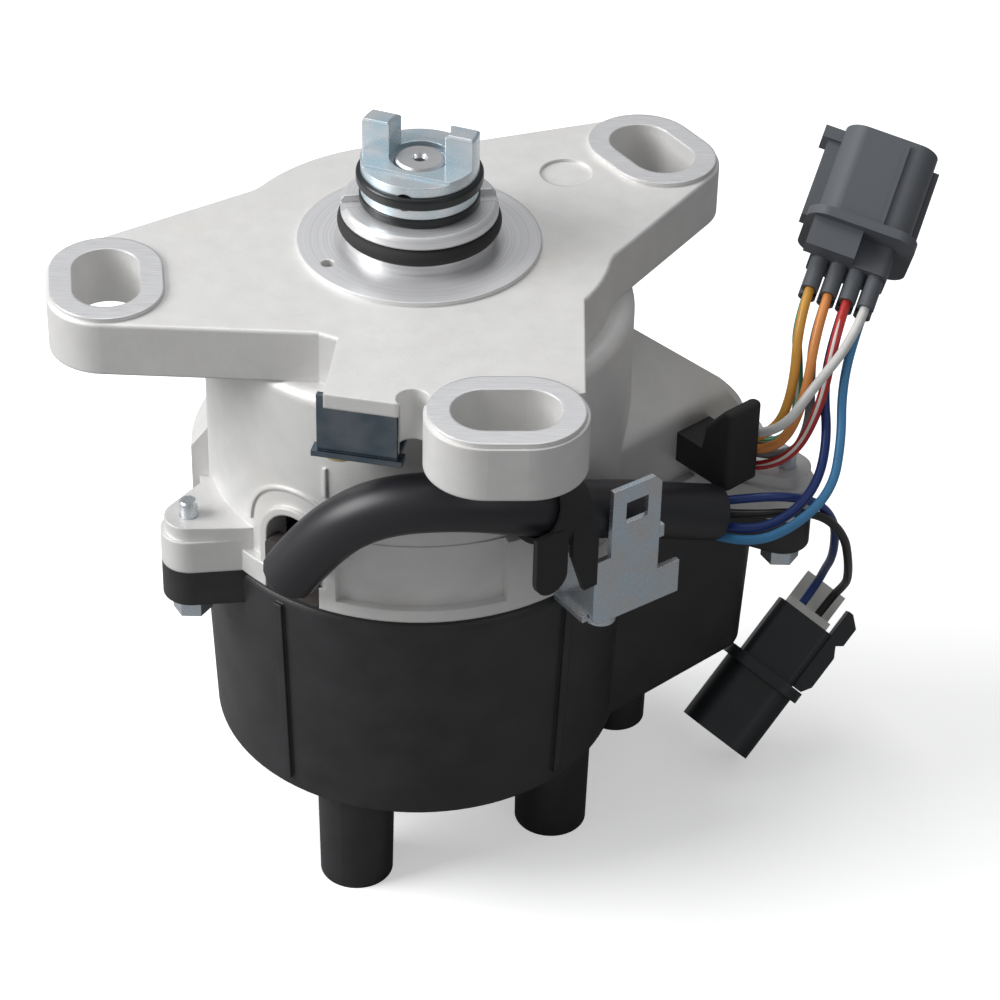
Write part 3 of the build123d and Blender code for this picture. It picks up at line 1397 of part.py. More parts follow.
for name, route, diameter in cords:
    with BuildPart() as cord:
        with BuildLine():
            path, radii = cord_path(route)
        with BuildSketch(cord_plane(route, 0)):
            Circle(diameter / 2)
        sweep(path=path)
    cord.part.label = name
    export_step(cord.part, f"parts/{name}.step")
    expected = pi * diameter ** 2 / 4 * path.length
    print(name, "length", round(path.length, 1), "smallest radius", round(min(radii), 1),
          "radii", [round(radius, 1) for radius in radii], "volume ratio", round(cord.part.volume / expected, 4))

# Strap round the sleeve, with a round-ended tongue hanging in front of it and a flap towards the bracket.
strap_start = Vector(*sleeve_route[strap_run])
strap_end = Vector(*sleeve_route[strap_run + 1])
strap_middle = (strap_start + strap_end) * 0.5
strap_along = Vector(strap_end.X - strap_start.X, strap_end.Y - strap_start.Y, 0).normalized()
strap_out = Vector(strap_along.Y, -strap_along.X, 0)
strap_inner = sleeve_diameter / 2 + strap_gap
with BuildPart() as sleeve_strap:
    with BuildSketch(Plane(origin=strap_middle, z_dir=strap_end - strap_start).offset(-strap_width / 2)):
        Circle(strap_inner + strap_wall)
        Circle(strap_inner, mode=Mode.SUBTRACT)
    extrude(amount=strap_width)
    with BuildSketch(Plane(origin=strap_middle + strap_out * strap_inner, x_dir=strap_along, z_dir=strap_out)):
        with Locations((strap_tongue_shift, 0)):
            Rectangle(strap_width, strap_tongue_length - strap_width / 2, align=(Align.CENTER, Align.MAX))
        with Locations((strap_tongue_shift, strap_width / 2 - strap_tongue_length)):
            Circle(strap_width / 2)
        with BuildLine():
            Polyline((0, -strap_wall), (strap_flap_reach, -strap_wall), (strap_flap_reach, -strap_flap_drop),
                     (strap_flap_reach / 2, -strap_flap_drop), (0, -strap_width), close=True)
        make_face()
    extrude(amount=strap_wall)

sleeve_strap.part.label = "sleeve_strap"
export_step(sleeve_strap.part, "parts/sleeve_strap.step")

# ------------------------------------------------------------------ eight-way connector
connector_plane = Plane(origin=connector_place, x_dir=connector_across, z_dir=connector_axis)
tube_spots = [((column - 1.5) * tube_pitch, row * tube_row_pitch / 2) for row in (-1, 1) for column in range(4)]
rear_end = -connector_flange_thickness - connector_rear_length
tube_end = rear_end - tube_length
with BuildPart() as connector_shell:
    with BuildSketch(connector_plane.offset(-connector_flange_thickness)):
        RectangleRounded(connector_width + 2 * connector_flange_rise, connector_depth + 2 * connector_flange_rise,
                         connector_round)
    extrude(amount=connector_flange_thickness)
    with BuildSketch(connector_plane):
        RectangleRounded(connector_width, connector_depth, connector_round)
    extrude(amount=connector_shell_length)
    with BuildSketch(connector_plane.offset(connector_wall)):
        RectangleRounded(connector_width - 2 * connector_wall, connector_depth - 2 * connector_wall,
                         connector_round - connector_wall)
    extrude(amount=connector_shell_length, mode=Mode.SUBTRACT)
    # latch rail with its hook, and the keying ribs
    with BuildSketch(connector_plane):
        with Locations((-connector_width / 2, 0)):
            Rectangle(rail_height, rail_width, align=(Align.MAX, Align.CENTER))
        with Locations((connector_width / 2, 0)):
            Rectangle(rail_hook, rail_width / 2, align=(Align.MIN, Align.CENTER))
        with Locations((connector_width / 6, -connector_depth / 2)):
            Rectangle(rail_hook / 2, rail_hook / 2, align=(Align.CENTER, Align.MAX))
    extrude(amount=connector_shell_length - rail_hook)
    with BuildSketch(connector_plane.offset(connector_shell_length - 2 * rail_hook)):
        with Locations((-connector_width / 2, 0)):
            Rectangle(rail_height + rail_hook, rail_width + rail_hook, align=(Align.MAX, Align.CENTER))
    extrude(amount=2 * rail_hook)
    # rear block, the side tongue and a tube for each lead
    with BuildSketch(connector_plane.offset(-connector_flange_thickness)):
        RectangleRounded(connector_rear_width, connector_rear_depth, tube_radius)
        with Locations((-connector_width / 2, -connector_depth / 2)):
            Rectangle(connector_tongue_width, connector_tongue_depth, align=(Align.MIN, Align.MIN))
    extrude(amount=-connector_rear_length)
    with BuildSketch(connector_plane.offset(-connector_flange_thickness)):
        with Locations(tube_spots):
            Circle(tube_radius)
    extrude(amount=-connector_rear_length - tube_length)
    with BuildSketch(connector_plane.offset(tube_end)):
        with Locations(tube_spots):
            Circle(lead_diameter / 2 + lead_gap)
    extrude(amount=tube_length / 2, mode=Mode.SUBTRACT)

connector_shell.part.label = "connector_shell"
export_step(connector_shell.part, "parts/connector_shell.step")

with BuildPart() as connector_seal:
    with BuildSketch(connector_plane.offset(connector_wall)):
        RectangleRounded(connector_width - 2 * connector_wall - 2 * fit_gap,
                         connector_depth - 2 * connector_wall - 2 * fit_gap, connector_round - connector_wall)
        RectangleRounded(connector_width - 4 * connector_wall, connector_depth - 4 * connector_wall,
                         connector_round - connector_wall, mode=Mode.SUBTRACT)
    extrude(amount=connector_wall)

connector_seal.part.label = "connector_seal"
export_step(connector_seal.part, "parts/connector_seal.step")

with BuildPart() as connector_pins:
    with BuildSketch(connector_plane.offset(connector_wall)):
        with Locations(tube_spots):
            Rectangle(*blade_size)
    extrude(amount=blade_length)

connector_pins.part.label = "connector_pins"
export_step(connector_pins.part, "parts/connector_pins.step")

# ------------------------------------------------------------------ two-way plug
plug_plane = Plane(origin=plug_place, x_dir=plug_across, z_dir=plug_axis)
plug_hood_start = plug_body_start + plug_body_length
plug_lead_spots = [(-plug_lead_spacing / 2, 0), (plug_lead_spacing / 2, 0)]
with BuildPart() as plug_shell:
    with BuildSketch(plug_plane.offset(plug_body_start)):
        RectangleRounded(plug_body_width, plug_body_thickness, plug_round)
    extrude(amount=plug_body_length)
    with BuildSketch(plug_plane.offset(plug_hood_start - plug_collar_length)):
        RectangleRounded(plug_hood_width + 2 * plug_collar_rise, plug_hood_thickness + 2 * plug_collar_rise,
                         plug_hood_round)
    extrude(amount=plug_collar_length)
    with BuildSketch(plug_plane.offset(plug_hood_start)):
        RectangleRounded(plug_hood_width, plug_hood_thickness, plug_hood_round)
    extrude(amount=plug_hood_length)
    with BuildSketch(plug_plane.offset(plug_hood_start + plug_wall)):
        RectangleRounded(plug_hood_width - 2 * plug_wall, plug_hood_thickness - 2 * plug_wall,
                         plug_hood_round - plug_wall)
    extrude(amount=plug_hood_length, mode=Mode.SUBTRACT)
    with BuildSketch(plug_plane.offset(plug_body_start)):
        with Locations(plug_lead_spots):
            Circle(plug_lead_diameter / 2 + lead_gap)
    extrude(amount=plug_collar_length, mode=Mode.SUBTRACT)

plug_shell.part.label = "plug_shell"
export_step(plug_shell.part, "parts/plug_shell.step")

# Latch block along one side of the plug: a thick lobe towards the hood and a slimmer one towards the leads.
latch_foot = plug_body_width / 2 + fit_gap
latch_end = plug_hood_start - plug_collar_length - free_gap
latch_start = latch_end - plug_latch_length
with BuildPart() as plug_latch:
    with BuildSketch(Plane(origin=plug_plane.origin, x_dir=plug_plane.x_dir, z_dir=-plug_plane.y_dir)
                     .offset(-plug_latch_width / 2)):
        with BuildLine():
            Polyline((latch_foot, latch_end), (latch_foot, latch_start),
                     (latch_foot + plug_latch_neck / 2, latch_start),
                     (latch_foot + plug_latch_thickness, latch_start + plug_latch_neck),
                     (latch_foot + plug_latch_thickness, latch_start + plug_latch_length / 3),
                     (latch_foot + plug_latch_neck, latch_start + plug_latch_length / 2.6),
                     (latch_foot + plug_latch_thickness, latch_start + plug_latch_length / 2),
                     (latch_foot + plug_latch_thickness, latch_end - plug_latch_neck),
                     (latch_foot + plug_latch_neck, latch_end), close=True)
        make_face()
    extrude(amount=plug_latch_width)

plug_latch.part.label = "plug_latch"
export_step(plug_latch.part, "parts/plug_latch.step")

# Pale holder on the back of the plug, L-shaped, that keeps its two leads apart.
with BuildPart() as plug_holder:
    with BuildSketch(plug_plane.offset(plug_body_start - plug_holder_thickness)):
        Rectangle(plug_holder_width, plug_body_thickness)
        with Locations(plug_lead_spots):
            Circle(plug_lead_diameter / 2 + 2 * lead_gap, mode=Mode.SUBTRACT)
    extrude(amount=plug_holder_thickness)
    with BuildSketch(plug_plane.offset(plug_body_start - plug_holder_length)):
        with Locations((0, -plug_body_thickness / 2)):
            Rectangle(plug_holder_width, plug_holder_thickness, align=(Align.CENTER, Align.MIN))
    extrude(amount=plug_holder_length)

plug_holder.part.label = "plug_holder"
export_step(plug_holder.part, "parts/plug_holder.step")
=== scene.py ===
import logging
import math
from dataclasses import dataclass, field
from enum import Enum
from typing import Any, ClassVar, Dict, List, Mapping, Sequence, Tuple, Union

import bmesh
import bpy
from mathutils import Matrix, Vector


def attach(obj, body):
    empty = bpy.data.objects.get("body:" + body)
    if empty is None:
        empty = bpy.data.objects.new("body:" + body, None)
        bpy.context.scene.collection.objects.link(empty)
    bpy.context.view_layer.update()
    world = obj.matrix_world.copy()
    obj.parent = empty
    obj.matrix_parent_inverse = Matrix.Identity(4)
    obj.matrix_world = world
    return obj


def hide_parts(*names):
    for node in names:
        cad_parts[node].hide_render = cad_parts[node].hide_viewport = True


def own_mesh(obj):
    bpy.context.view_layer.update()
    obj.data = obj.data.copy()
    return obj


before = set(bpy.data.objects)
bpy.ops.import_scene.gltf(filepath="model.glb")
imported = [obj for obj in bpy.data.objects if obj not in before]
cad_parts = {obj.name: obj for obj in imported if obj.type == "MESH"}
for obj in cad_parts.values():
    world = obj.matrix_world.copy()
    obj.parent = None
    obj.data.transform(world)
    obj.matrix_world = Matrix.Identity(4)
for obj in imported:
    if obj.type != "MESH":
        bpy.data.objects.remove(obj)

LOG = logging.getLogger("distributor")
MM = 0.001
MM_PER_M = 1000.0
BEVEL_SAMPLES = 6
CLOUD_SPAN = (0.3, 0.7)
Colour = Tuple[float, float, float]
Point = Tuple[float, float, float]


class Body(Enum):
    """Rigid body that the pieces made here ride on."""

    CASE = "body"


# ---------------------------------------------------------------- shader graph
class Wire:
    """A number in a material's graph; Python's operators on it add Math nodes."""

    def __init__(self, graph: "Graph", socket: bpy.types.NodeSocket) -> None:
        """Wraps an output socket of a graph."""
        self.graph = graph
        self.socket = socket

    def math(self, operation: str, *others: Union["Wire", float]) -> "Wire":
        """Adds a Math node with this value as its first operand.

        Args:
            operation: Blender's name of the operation, such as "MULTIPLY".
            others: the operands that follow this one.

        Returns:
            The node's result.
        """
        inputs = dict(enumerate((self, *others)))
        return self.graph.node("ShaderNodeMath", {"operation": operation}, inputs)

    def __add__(self, other: Union["Wire", float]) -> "Wire":
        """Sum."""
        return self.math("ADD", other)

    def __sub__(self, other: Union["Wire", float]) -> "Wire":
        """Difference."""
        return self.math("SUBTRACT", other)

    def __rsub__(self, other: float) -> "Wire":
        """Difference with a number first."""
        return self.graph.node("ShaderNodeMath", {"operation": "SUBTRACT"}, {0: other, 1: self})

    def __mul__(self, other: Union["Wire", float]) -> "Wire":
        """Product."""
        return self.math("MULTIPLY", other)

    def __gt__(self, other: Union["Wire", float]) -> "Wire":
        """1 where this is greater, else 0."""
        return self.math("GREATER_THAN", other)

    def __lt__(self, other: Union["Wire", float]) -> "Wire":
        """1 where this is less, else 0."""
        return self.math("LESS_THAN", other)

    def __pow__(self, other: float) -> "Wire":
        """Power."""
        return self.math("POWER", other)

    def ramp(self, low: float, high: float) -> "Wire":
        """0 at the low value, 1 at the high one, and straight between them."""
        return self.graph.node("ShaderNodeMapRange", {"clamp": True},
                               {"Value": self, "From Min": low, "From Max": high})

    def around(self, middle: float, span: float) -> "Wire":
        """This value from 0 to 1 spread over a span around a middle value."""
        return self * span + (middle - span / 2)


Given = Union[Wire, float, Sequence[float]]


class Graph:
    """The node graph of one material, built from Python expressions."""

    def __init__(self, name: str) -> None:
        """Makes an empty material with that name."""
        self.material = bpy.data.materials.new(name)
        self.material.use_nodes = True
        self.tree = self.material.node_tree
        self.tree.nodes.clear()

    def make(self, kind: str, settings: Mapping[str, Any],
             inputs: Mapping[Any, Given]) -> bpy.types.Node:
        """Adds a node of any type.

        Args:
            kind: Blender's type of node.
            settings: the node's own settings, set first.
            inputs: values or links by the sockets' names or numbers.

        Returns:
            The node.
        """
        node = self.tree.nodes.new(kind)
        for name, value in settings.items():
            setattr(node, name, value)
        for key, value in inputs.items():
            socket = node.inputs[key]
            if isinstance(value, Wire):
                self.tree.links.new(value.socket, socket)
            else:
                socket.default_value = value
        return node

    def node(self, kind: str, settings: Mapping[str, Any], inputs: Mapping[Any, Given],
             output: Any = 0) -> Wire:
        """Adds a node of any type and returns one of its outputs.

        Args:
            kind: Blender's type of node.
            settings: the node's own settings, set first.
            inputs: values or links by the sockets' names or numbers.
            output: name or number of the output.

        Returns:
            The output, wrapped.
        """
        return Wire(self, self.make(kind, settings, inputs).outputs[output])

    def place(self) -> Wire:
        """Position in the frame, in metres."""
        return self.node("ShaderNodeTexCoord", {}, {}, "Object")

    def parts(self, vector: Wire) -> Tuple[Wire, Wire, Wire]:
        """The three numbers of a vector."""
        node = self.make("ShaderNodeSeparateXYZ", {}, {"Vector": vector})
        x, y, z = (Wire(self, output) for output in node.outputs)
        return x, y, z

    def joined(self, x: Given, y: Given, z: Given) -> Wire:
        """A vector from three numbers."""
        return self.node("ShaderNodeCombineXYZ", {}, {"X": x, "Y": y, "Z": z})

    def noise(self, vector: Wire, size_mm: float, detail: float = 3.0,
              roughness: float = 0.55) -> Wire:
        """Cloudy noise from 0 to 1 with features of about that size."""
        return self.node("ShaderNodeTexNoise", {},
                         {"Vector": vector, "Scale": MM_PER_M / size_mm, "Detail": detail,
                          "Roughness": roughness}, "Fac")

    def mixed(self, low: Given, high: Given, factor: Given) -> Wire:
        """Colour between two colours."""
        node = self.make("ShaderNodeMix", {"data_type": "RGBA"}, {"Factor": factor})
        for name, value in (("A", low), ("B", high)):
            socket = next(s for s in node.inputs if s.name == name and s.type == "RGBA")
            if isinstance(value, Wire):
                self.tree.links.new(value.socket, socket)
            else:
                socket.default_value = (*value, 1.0)
        return Wire(self, next(s for s in node.outputs if s.type == "RGBA"))

    def bump(self, height: Wire, depth_mm: float, normal: Wire) -> Wire:
        """Normal that stands for a relief of that depth.

        Args:
            height: relief from 0 to 1.
            depth_mm: depth of the relief.
            normal: normal of the surface that the relief lies on.

        Returns:
            The bumped normal.
        """
        return self.node("ShaderNodeBump", {}, {"Strength": 1.0, "Distance": depth_mm * MM,
                                                "Height": height, "Normal": normal})

    def eased(self, radius_mm: float) -> Wire:
        """Normal with the solid's edges eased to that radius."""
        return self.node("ShaderNodeBevel", {"samples": BEVEL_SAMPLES}, {"Radius": radius_mm * MM})

    def finish(self, inputs: Mapping[str, Given]) -> bpy.types.Material:
        """Adds the surface shader with these inputs and returns the material."""
        shader = self.make("ShaderNodeBsdfPrincipled", {}, inputs)
        output = self.tree.nodes.new("ShaderNodeOutputMaterial")
        self.tree.links.new(shader.outputs[0], output.inputs["Surface"])
        return self.material


# ---------------------------------------------------------------- finishes
@dataclass(frozen=True)
class Finish:
    """Plain moulded or rubber surface: fine grain, faint mottling and eased edges; sizes in mm."""

    name: str
    slot: str
    colour: Colour
    roughness: float = 0.5
    metallic: float = 0.0
    mottle: float = 0.12
    mottle_size: float = 9.0
    grain_size: float = 0.6
    grain_depth: float = 0.03
    edge: float = 0.35
    roughness_span: float = 0.16

    def tone(self, graph: Graph) -> Wire:
        """Base colour, a little lighter and darker from place to place."""
        cloud = graph.noise(graph.place(), self.mottle_size)
        darker = tuple(c * (1 - self.mottle) for c in self.colour)
        lighter = tuple(min(1.0, c * (1 + self.mottle)) for c in self.colour)
        return graph.mixed(darker, lighter, cloud.ramp(*CLOUD_SPAN))

    def relief(self, graph: Graph) -> Wire:
        """Normal of the grain on the eased solid."""
        grain = graph.noise(graph.place(), self.grain_size, detail=4.0)
        return graph.bump(grain, self.grain_depth, graph.eased(self.edge))

    def sheen(self, graph: Graph) -> Wire:
        """Roughness that varies a little."""
        cloud = graph.noise(graph.place(), self.mottle_size * 0.5)
        return cloud.around(self.roughness, self.roughness_span)

    def surface(self, graph: Graph) -> Dict[str, Given]:
        """Inputs of the surface shader."""
        return {"Base Color": self.tone(graph), "Roughness": self.sheen(graph),
                "Metallic": self.metallic, "Normal": self.relief(graph)}

    def material(self) -> bpy.types.Material:
        """The finish as a material, made once."""
        known = bpy.data.materials.get(self.name)
        if known is not None:
            return known
        graph = Graph(self.name)
        return graph.finish(self.surface(graph))


@dataclass(frozen=True)
class CastFinish(Finish):
    """Blasted die-cast aluminium, turned and milled on the engine side; sizes in mm.

    The nose is turned outside its mounting face, and the faces above face_z that look up are
    milled; inside turned_radius they carry the lathe's rings instead of straight strokes.
    """

    grain_size: float = 0.55
    roughness_span: float = 0.10
    shade: float = 0.93
    flow_size: float = 6.0
    flow_depth: float = 0.05
    stain_size: float = 22.0
    stain_span: Tuple[float, float] = (0.52, 0.75)
    stain_tint: Colour = (0.94, 0.91, 0.86)
    stain_strength: float = 0.5
    machined: Colour = (0.80, 0.80, 0.81)
    machined_roughness: float = 0.36
    machined_roughness_span: float = 0.12
    machined_metallic: float = 0.5
    machined_shade: float = 0.86
    mark_span: Tuple[float, float] = (0.35, 0.65)
    mark_depth: float = 0.012
    nose_radius: float = 18.3
    nose_z: float = 0.2
    face_z: float = 0.8
    face_up: float = 0.9
    turned_radius: float = 28.5
    ring_size: float = 0.22
    ring_stretch: float = 0.3
    stroke_size: float = 0.35
    stroke_stretch: float = 0.05

    def machining(self, radius: Wire, z: Wire, up: Wire) -> Wire:
        """1 on the turned nose and the milled faces, else 0."""
        nose = (radius < self.nose_radius * MM) * (z > self.nose_z * MM)
        faces = (z > self.face_z * MM) * (up > self.face_up)
        return (nose + faces).math("MINIMUM", 1.0)

    def marks(self, graph: Graph, x: Wire, y: Wire, z: Wire, radius: Wire) -> Wire:
        """Tool marks from 0 to 1: rings near the axis and straight strokes farther out."""
        disc = radius < self.turned_radius * MM
        rings = graph.noise(graph.joined(radius, z * self.ring_stretch, 0.0), self.ring_size,
                            detail=2.0)
        strokes = graph.noise(graph.joined(x * self.stroke_stretch, y, 0.0), self.stroke_size,
                              detail=2.0)
        chosen = graph.mixed(graph.joined(strokes, strokes, strokes),
                             graph.joined(rings, rings, rings), disc)
        return graph.node("ShaderNodeRGBToBW", {}, {0: chosen})

    def surface(self, graph: Graph) -> Dict[str, Given]:
        """Inputs of the surface shader."""
        place = graph.place()
        x, y, z = graph.parts(place)
        normal = graph.node("ShaderNodeNewGeometry", {}, {}, "True Normal")
        up = graph.parts(normal)[2]
        radius = (x * x + y * y) ** 0.5
        cut = self.machining(radius, z, up)
        marks = self.marks(graph, x, y, z, radius)
        grain = graph.noise(place, self.grain_size, detail=5.0, roughness=0.6)
        flow = graph.noise(place, self.flow_size, detail=4.0)
        stain = graph.noise(place, self.stain_size, detail=4.0).ramp(*self.stain_span)
        shaded = tuple(c * self.shade for c in self.colour)
        stained = tuple(c * tint for c, tint in zip(self.colour, self.stain_tint))
        cast = graph.mixed(shaded, self.colour, flow.ramp(*CLOUD_SPAN))
        cast = graph.mixed(cast, stained, stain * self.stain_strength)
        bright = graph.mixed(tuple(c * self.machined_shade for c in self.machined), self.machined,
                             marks.ramp(*self.mark_span))
        tone = graph.mixed(cast, bright, cut)
        rough_cast = grain.around(self.roughness, self.roughness_span)
        rough_cut = marks.around(self.machined_roughness, self.machined_roughness_span)
        rough = rough_cast + (rough_cut - rough_cast) * cut
        height = (grain * (1 - cut) * self.grain_depth + flow * (1 - cut) * self.flow_depth
                  + marks * cut * self.mark_depth)
        relief = graph.bump(height, 1.0, graph.eased(self.edge))
        metal = cut * (self.machined_metallic - self.metallic) + self.metallic
        return {"Base Color": tone, "Roughness": rough, "Metallic": metal, "Normal": relief}


@dataclass(frozen=True)
class PlatedFinish(Finish):
    """Zinc or steel with fine drawn streaks and a faint tint that drifts; sizes in mm."""

    roughness_span: float = 0.2
    tint: Colour = (0.6, 0.72, 0.82)
    drift_size: float = 7.0
    drift_span: Tuple[float, float] = (0.35, 0.7)
    streak: float = 0.25
    streak_size: float = 0.5
    streak_stretch: Point = (1.0, 1.0, 5.0)
    streak_span: Tuple[float, float] = (0.55, 0.8)
    streak_shade: float = 0.6

    def surface(self, graph: Graph) -> Dict[str, Given]:
        """Inputs of the surface shader."""
        place = graph.place()
        drift = graph.noise(place, self.drift_size, detail=2.0).ramp(*self.drift_span)
        stretched = graph.node("ShaderNodeVectorMath", {"operation": "MULTIPLY"},
                               {0: place, 1: self.streak_stretch})
        streaks = graph.noise(stretched, self.streak_size)
        tone = graph.mixed(self.colour, self.tint, drift)
        tone = graph.mixed(tone, tuple(c * self.streak_shade for c in self.colour),
                           streaks.ramp(*self.streak_span) * self.streak)
        rough = streaks.around(self.roughness, self.roughness_span)
        relief = graph.bump(streaks, self.grain_depth, graph.eased(self.edge))
        return {"Base Color": tone, "Roughness": rough, "Metallic": self.metallic,
                "Normal": relief}


@dataclass(frozen=True)
class StripedFinish(Finish):
    """Insulation with a thin stripe along one side of the lead."""

    stripe: Colour = (0.75, 0.75, 0.72)
    side: Point = (-0.35, -0.80, 0.48)
    stripe_edge: float = 0.94

    def tone(self, graph: Graph) -> Wire:
        """Base colour with the stripe over it."""
        normal = graph.node("ShaderNodeNewGeometry", {}, {}, "Normal")
        towards = graph.node("ShaderNodeVectorMath", {"operation": "DOT_PRODUCT"},
                             {0: normal, 1: self.side}, "Value")
        return graph.mixed(super().tone(graph), self.stripe, towards > self.stripe_edge)


class Stock:
    """The finishes of the distributor."""

    CAST = CastFinish("cast_aluminium", "cast_body", (0.76, 0.755, 0.745), 0.48, 0.30,
                      grain_depth=0.05, edge=0.7)
    CAP = Finish("cap_moulding", "black_moulding", (0.022, 0.022, 0.024), 0.42, mottle=0.25,
                 edge=0.5)
    ROTOR = Finish("rotor_moulding", "rotor_moulding", (0.16, 0.04, 0.025), 0.45)
    RING = Finish("black_ring", "black_moulding", (0.014, 0.017, 0.018), 0.32, edge=0.2)
    RUBBER = Finish("seal_rubber", "seal_rubber", (0.018, 0.018, 0.018), 0.55, grain_depth=0.02)
    SLEEVE = Finish("sleeve_rubber", "sleeve_rubber", (0.011, 0.011, 0.013), 0.34, mottle=0.3,
                    edge=0.2)
    GROMMET = Finish("grommet_rubber", "grommet_rubber", (0.05, 0.048, 0.045), 0.6)
    ZINC = PlatedFinish("bright_zinc", "zinc_steel", (0.66, 0.67, 0.69), 0.28, 0.8,
                        grain_depth=0.01, edge=0.25)
    BLUE_ZINC = PlatedFinish("blue_zinc", "zinc_steel", (0.74, 0.78, 0.81), 0.24, 0.65,
                             grain_depth=0.01, edge=0.3, tint=(0.56, 0.71, 0.79))
    YELLOW_ZINC = PlatedFinish("yellow_zinc", "yellow_zinc", (0.70, 0.58, 0.28), 0.3, 1.0,
                               grain_depth=0.01, tint=(0.62, 0.50, 0.36), edge=0.2)
    GROUND = PlatedFinish("ground_steel", "ground_steel", (0.58, 0.58, 0.58), 0.25, 1.0,
                          grain_depth=0.005, tint=(0.55, 0.56, 0.58), edge=0.2)
    DARK_STEEL = PlatedFinish("dark_steel", "dark_steel", (0.13, 0.13, 0.14), 0.4, 1.0,
                              grain_depth=0.01, tint=(0.10, 0.10, 0.11), edge=0.2)
    SPRING = PlatedFinish("spring_steel", "spring_steel", (0.45, 0.46, 0.47), 0.3, 1.0,
                          grain_depth=0.01, tint=(0.40, 0.42, 0.44), edge=0.2)
    BRONZE = PlatedFinish("bush_bronze", "bush_bronze", (0.55, 0.38, 0.20), 0.4, 1.0,
                          tint=(0.5, 0.36, 0.2))
    TERMINAL = PlatedFinish("terminal_metal", "terminal_metal", (0.65, 0.65, 0.65), 0.3, 1.0,
                            tint=(0.62, 0.62, 0.6))
    CARBON = Finish("brush_carbon", "brush_carbon", (0.03, 0.03, 0.03), 0.6)
    NYLON = Finish("grey_nylon", "grey_nylon", (0.115, 0.122, 0.128), 0.40, mottle=0.08, edge=0.3)
    BLACK_NYLON = Finish("black_nylon", "black_moulding", (0.022, 0.024, 0.026), 0.36, mottle=0.1,
                         edge=0.3)
    PALE_NYLON = Finish("pale_nylon", "pale_nylon", (0.40, 0.40, 0.38), 0.45, mottle=0.06,
                        edge=0.25)
    DARK_ZINC = PlatedFinish("dark_zinc", "zinc_steel", (0.20, 0.23, 0.26), 0.30, 1.0,
                             grain_depth=0.01, edge=0.25, tint=(0.12, 0.16, 0.20))

    @staticmethod
    def lead(name: str, colour: Colour) -> Finish:
        """Soft glossy insulation of that colour; its slot has the lead's name."""
        return Finish(f"insulation_{name}", name, colour, 0.34, mottle=0.06, grain_depth=0.01,
                      edge=0.05)

    @staticmethod
    def striped_lead(name: str, colour: Colour, stripe: Colour) -> Finish:
        """The same insulation with a stripe of another colour."""
        return StripedFinish(f"insulation_{name}", name, colour, 0.34, mottle=0.06,
                             grain_depth=0.01, edge=0.05, stripe=stripe)


LEADS: Dict[str, Finish] = {
    "lead_white": Stock.lead("lead_white", (0.74, 0.74, 0.72)),
    "lead_orange": Stock.lead("lead_orange", (0.78, 0.30, 0.08)),
    "lead_red": Stock.striped_lead("lead_red", (0.55, 0.035, 0.03), (0.75, 0.75, 0.72)),
    "lead_yellow": Stock.lead("lead_yellow", (0.72, 0.36, 0.06)),
    "lead_green": Stock.striped_lead("lead_green", (0.05, 0.32, 0.16), (0.55, 0.66, 0.55)),
    "lead_grey": Stock.lead("lead_grey", (0.22, 0.22, 0.23)),
    "lead_dark_blue": Stock.lead("lead_dark_blue", (0.02, 0.05, 0.22)),
    "lead_light_blue": Stock.lead("lead_light_blue", (0.07, 0.28, 0.55)),
    "lead_black": Stock.lead("lead_black", (0.015, 0.015, 0.016)),
}


def linked(name: str, data: bpy.types.ID) -> bpy.types.Object:
    """Makes an object of that data and puts it in the scene."""
    thing = bpy.data.objects.new(name, data)
    bpy.context.scene.collection.objects.link(thing)
    return thing


def dress(node: str, finish: Finish) -> None:
    """Gives a CAD node its finish.

    Args:
        node: name of the node.
        finish: the finish that it takes.
    """
    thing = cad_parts[node]
    thing.data.materials.clear()
    thing.data.materials.append(finish.material())
    LOG.info("dressed %s in %s", node, finish.name)


@dataclass
class Assembly:
    """Nodes that keep their solids and take a finish."""

    finishes: Dict[str, Finish] = field(default_factory=dict)

    def build(self) -> None:
        """Dresses each node."""
        for node, finish in self.finishes.items():
            dress(node, finish)


# ---------------------------------------------------------------- cords
@dataclass
class Cord:
    """One lead or sleeve on a smooth line, standing for its CAD tube; sizes in mm."""

    ORDER: ClassVar[int] = 3
    STEPS_ALONG: ClassVar[int] = 16
    STEPS_ROUND: ClassVar[int] = 6

    node: str
    route: List[Point]
    diameter: float
    finish: Finish
    far_end: str
    stiffness: str = "medium"
    pieces: Tuple[str, ...] = ()

    def build(self) -> bpy.types.Object:
        """Returns:
            The curve.
        """
        data = bpy.data.curves.new(self.node + "_line", "CURVE")
        data.dimensions = "3D"
        spline = data.splines.new("NURBS")
        spline.points.add(len(self.route) - 1)
        for spot, point in zip(spline.points, self.route):
            spot.co = (*(Vector(point) * MM), 1.0)
        spline.order_u = self.ORDER
        spline.use_endpoint_u = True
        spline.resolution_u = self.STEPS_ALONG
        data.bevel_depth = self.diameter * MM / 2
        data.bevel_resolution = self.STEPS_ROUND
        data.use_fill_caps = True
        data.materials.append(self.finish.material())
        line = linked(self.node + "_line", data)
        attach(line, Body.CASE.value)
        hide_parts(self.node)
        length = spline.calc_length()
        LOG.info("cord %s is %.1f mm long", self.node, length / MM)
        return line


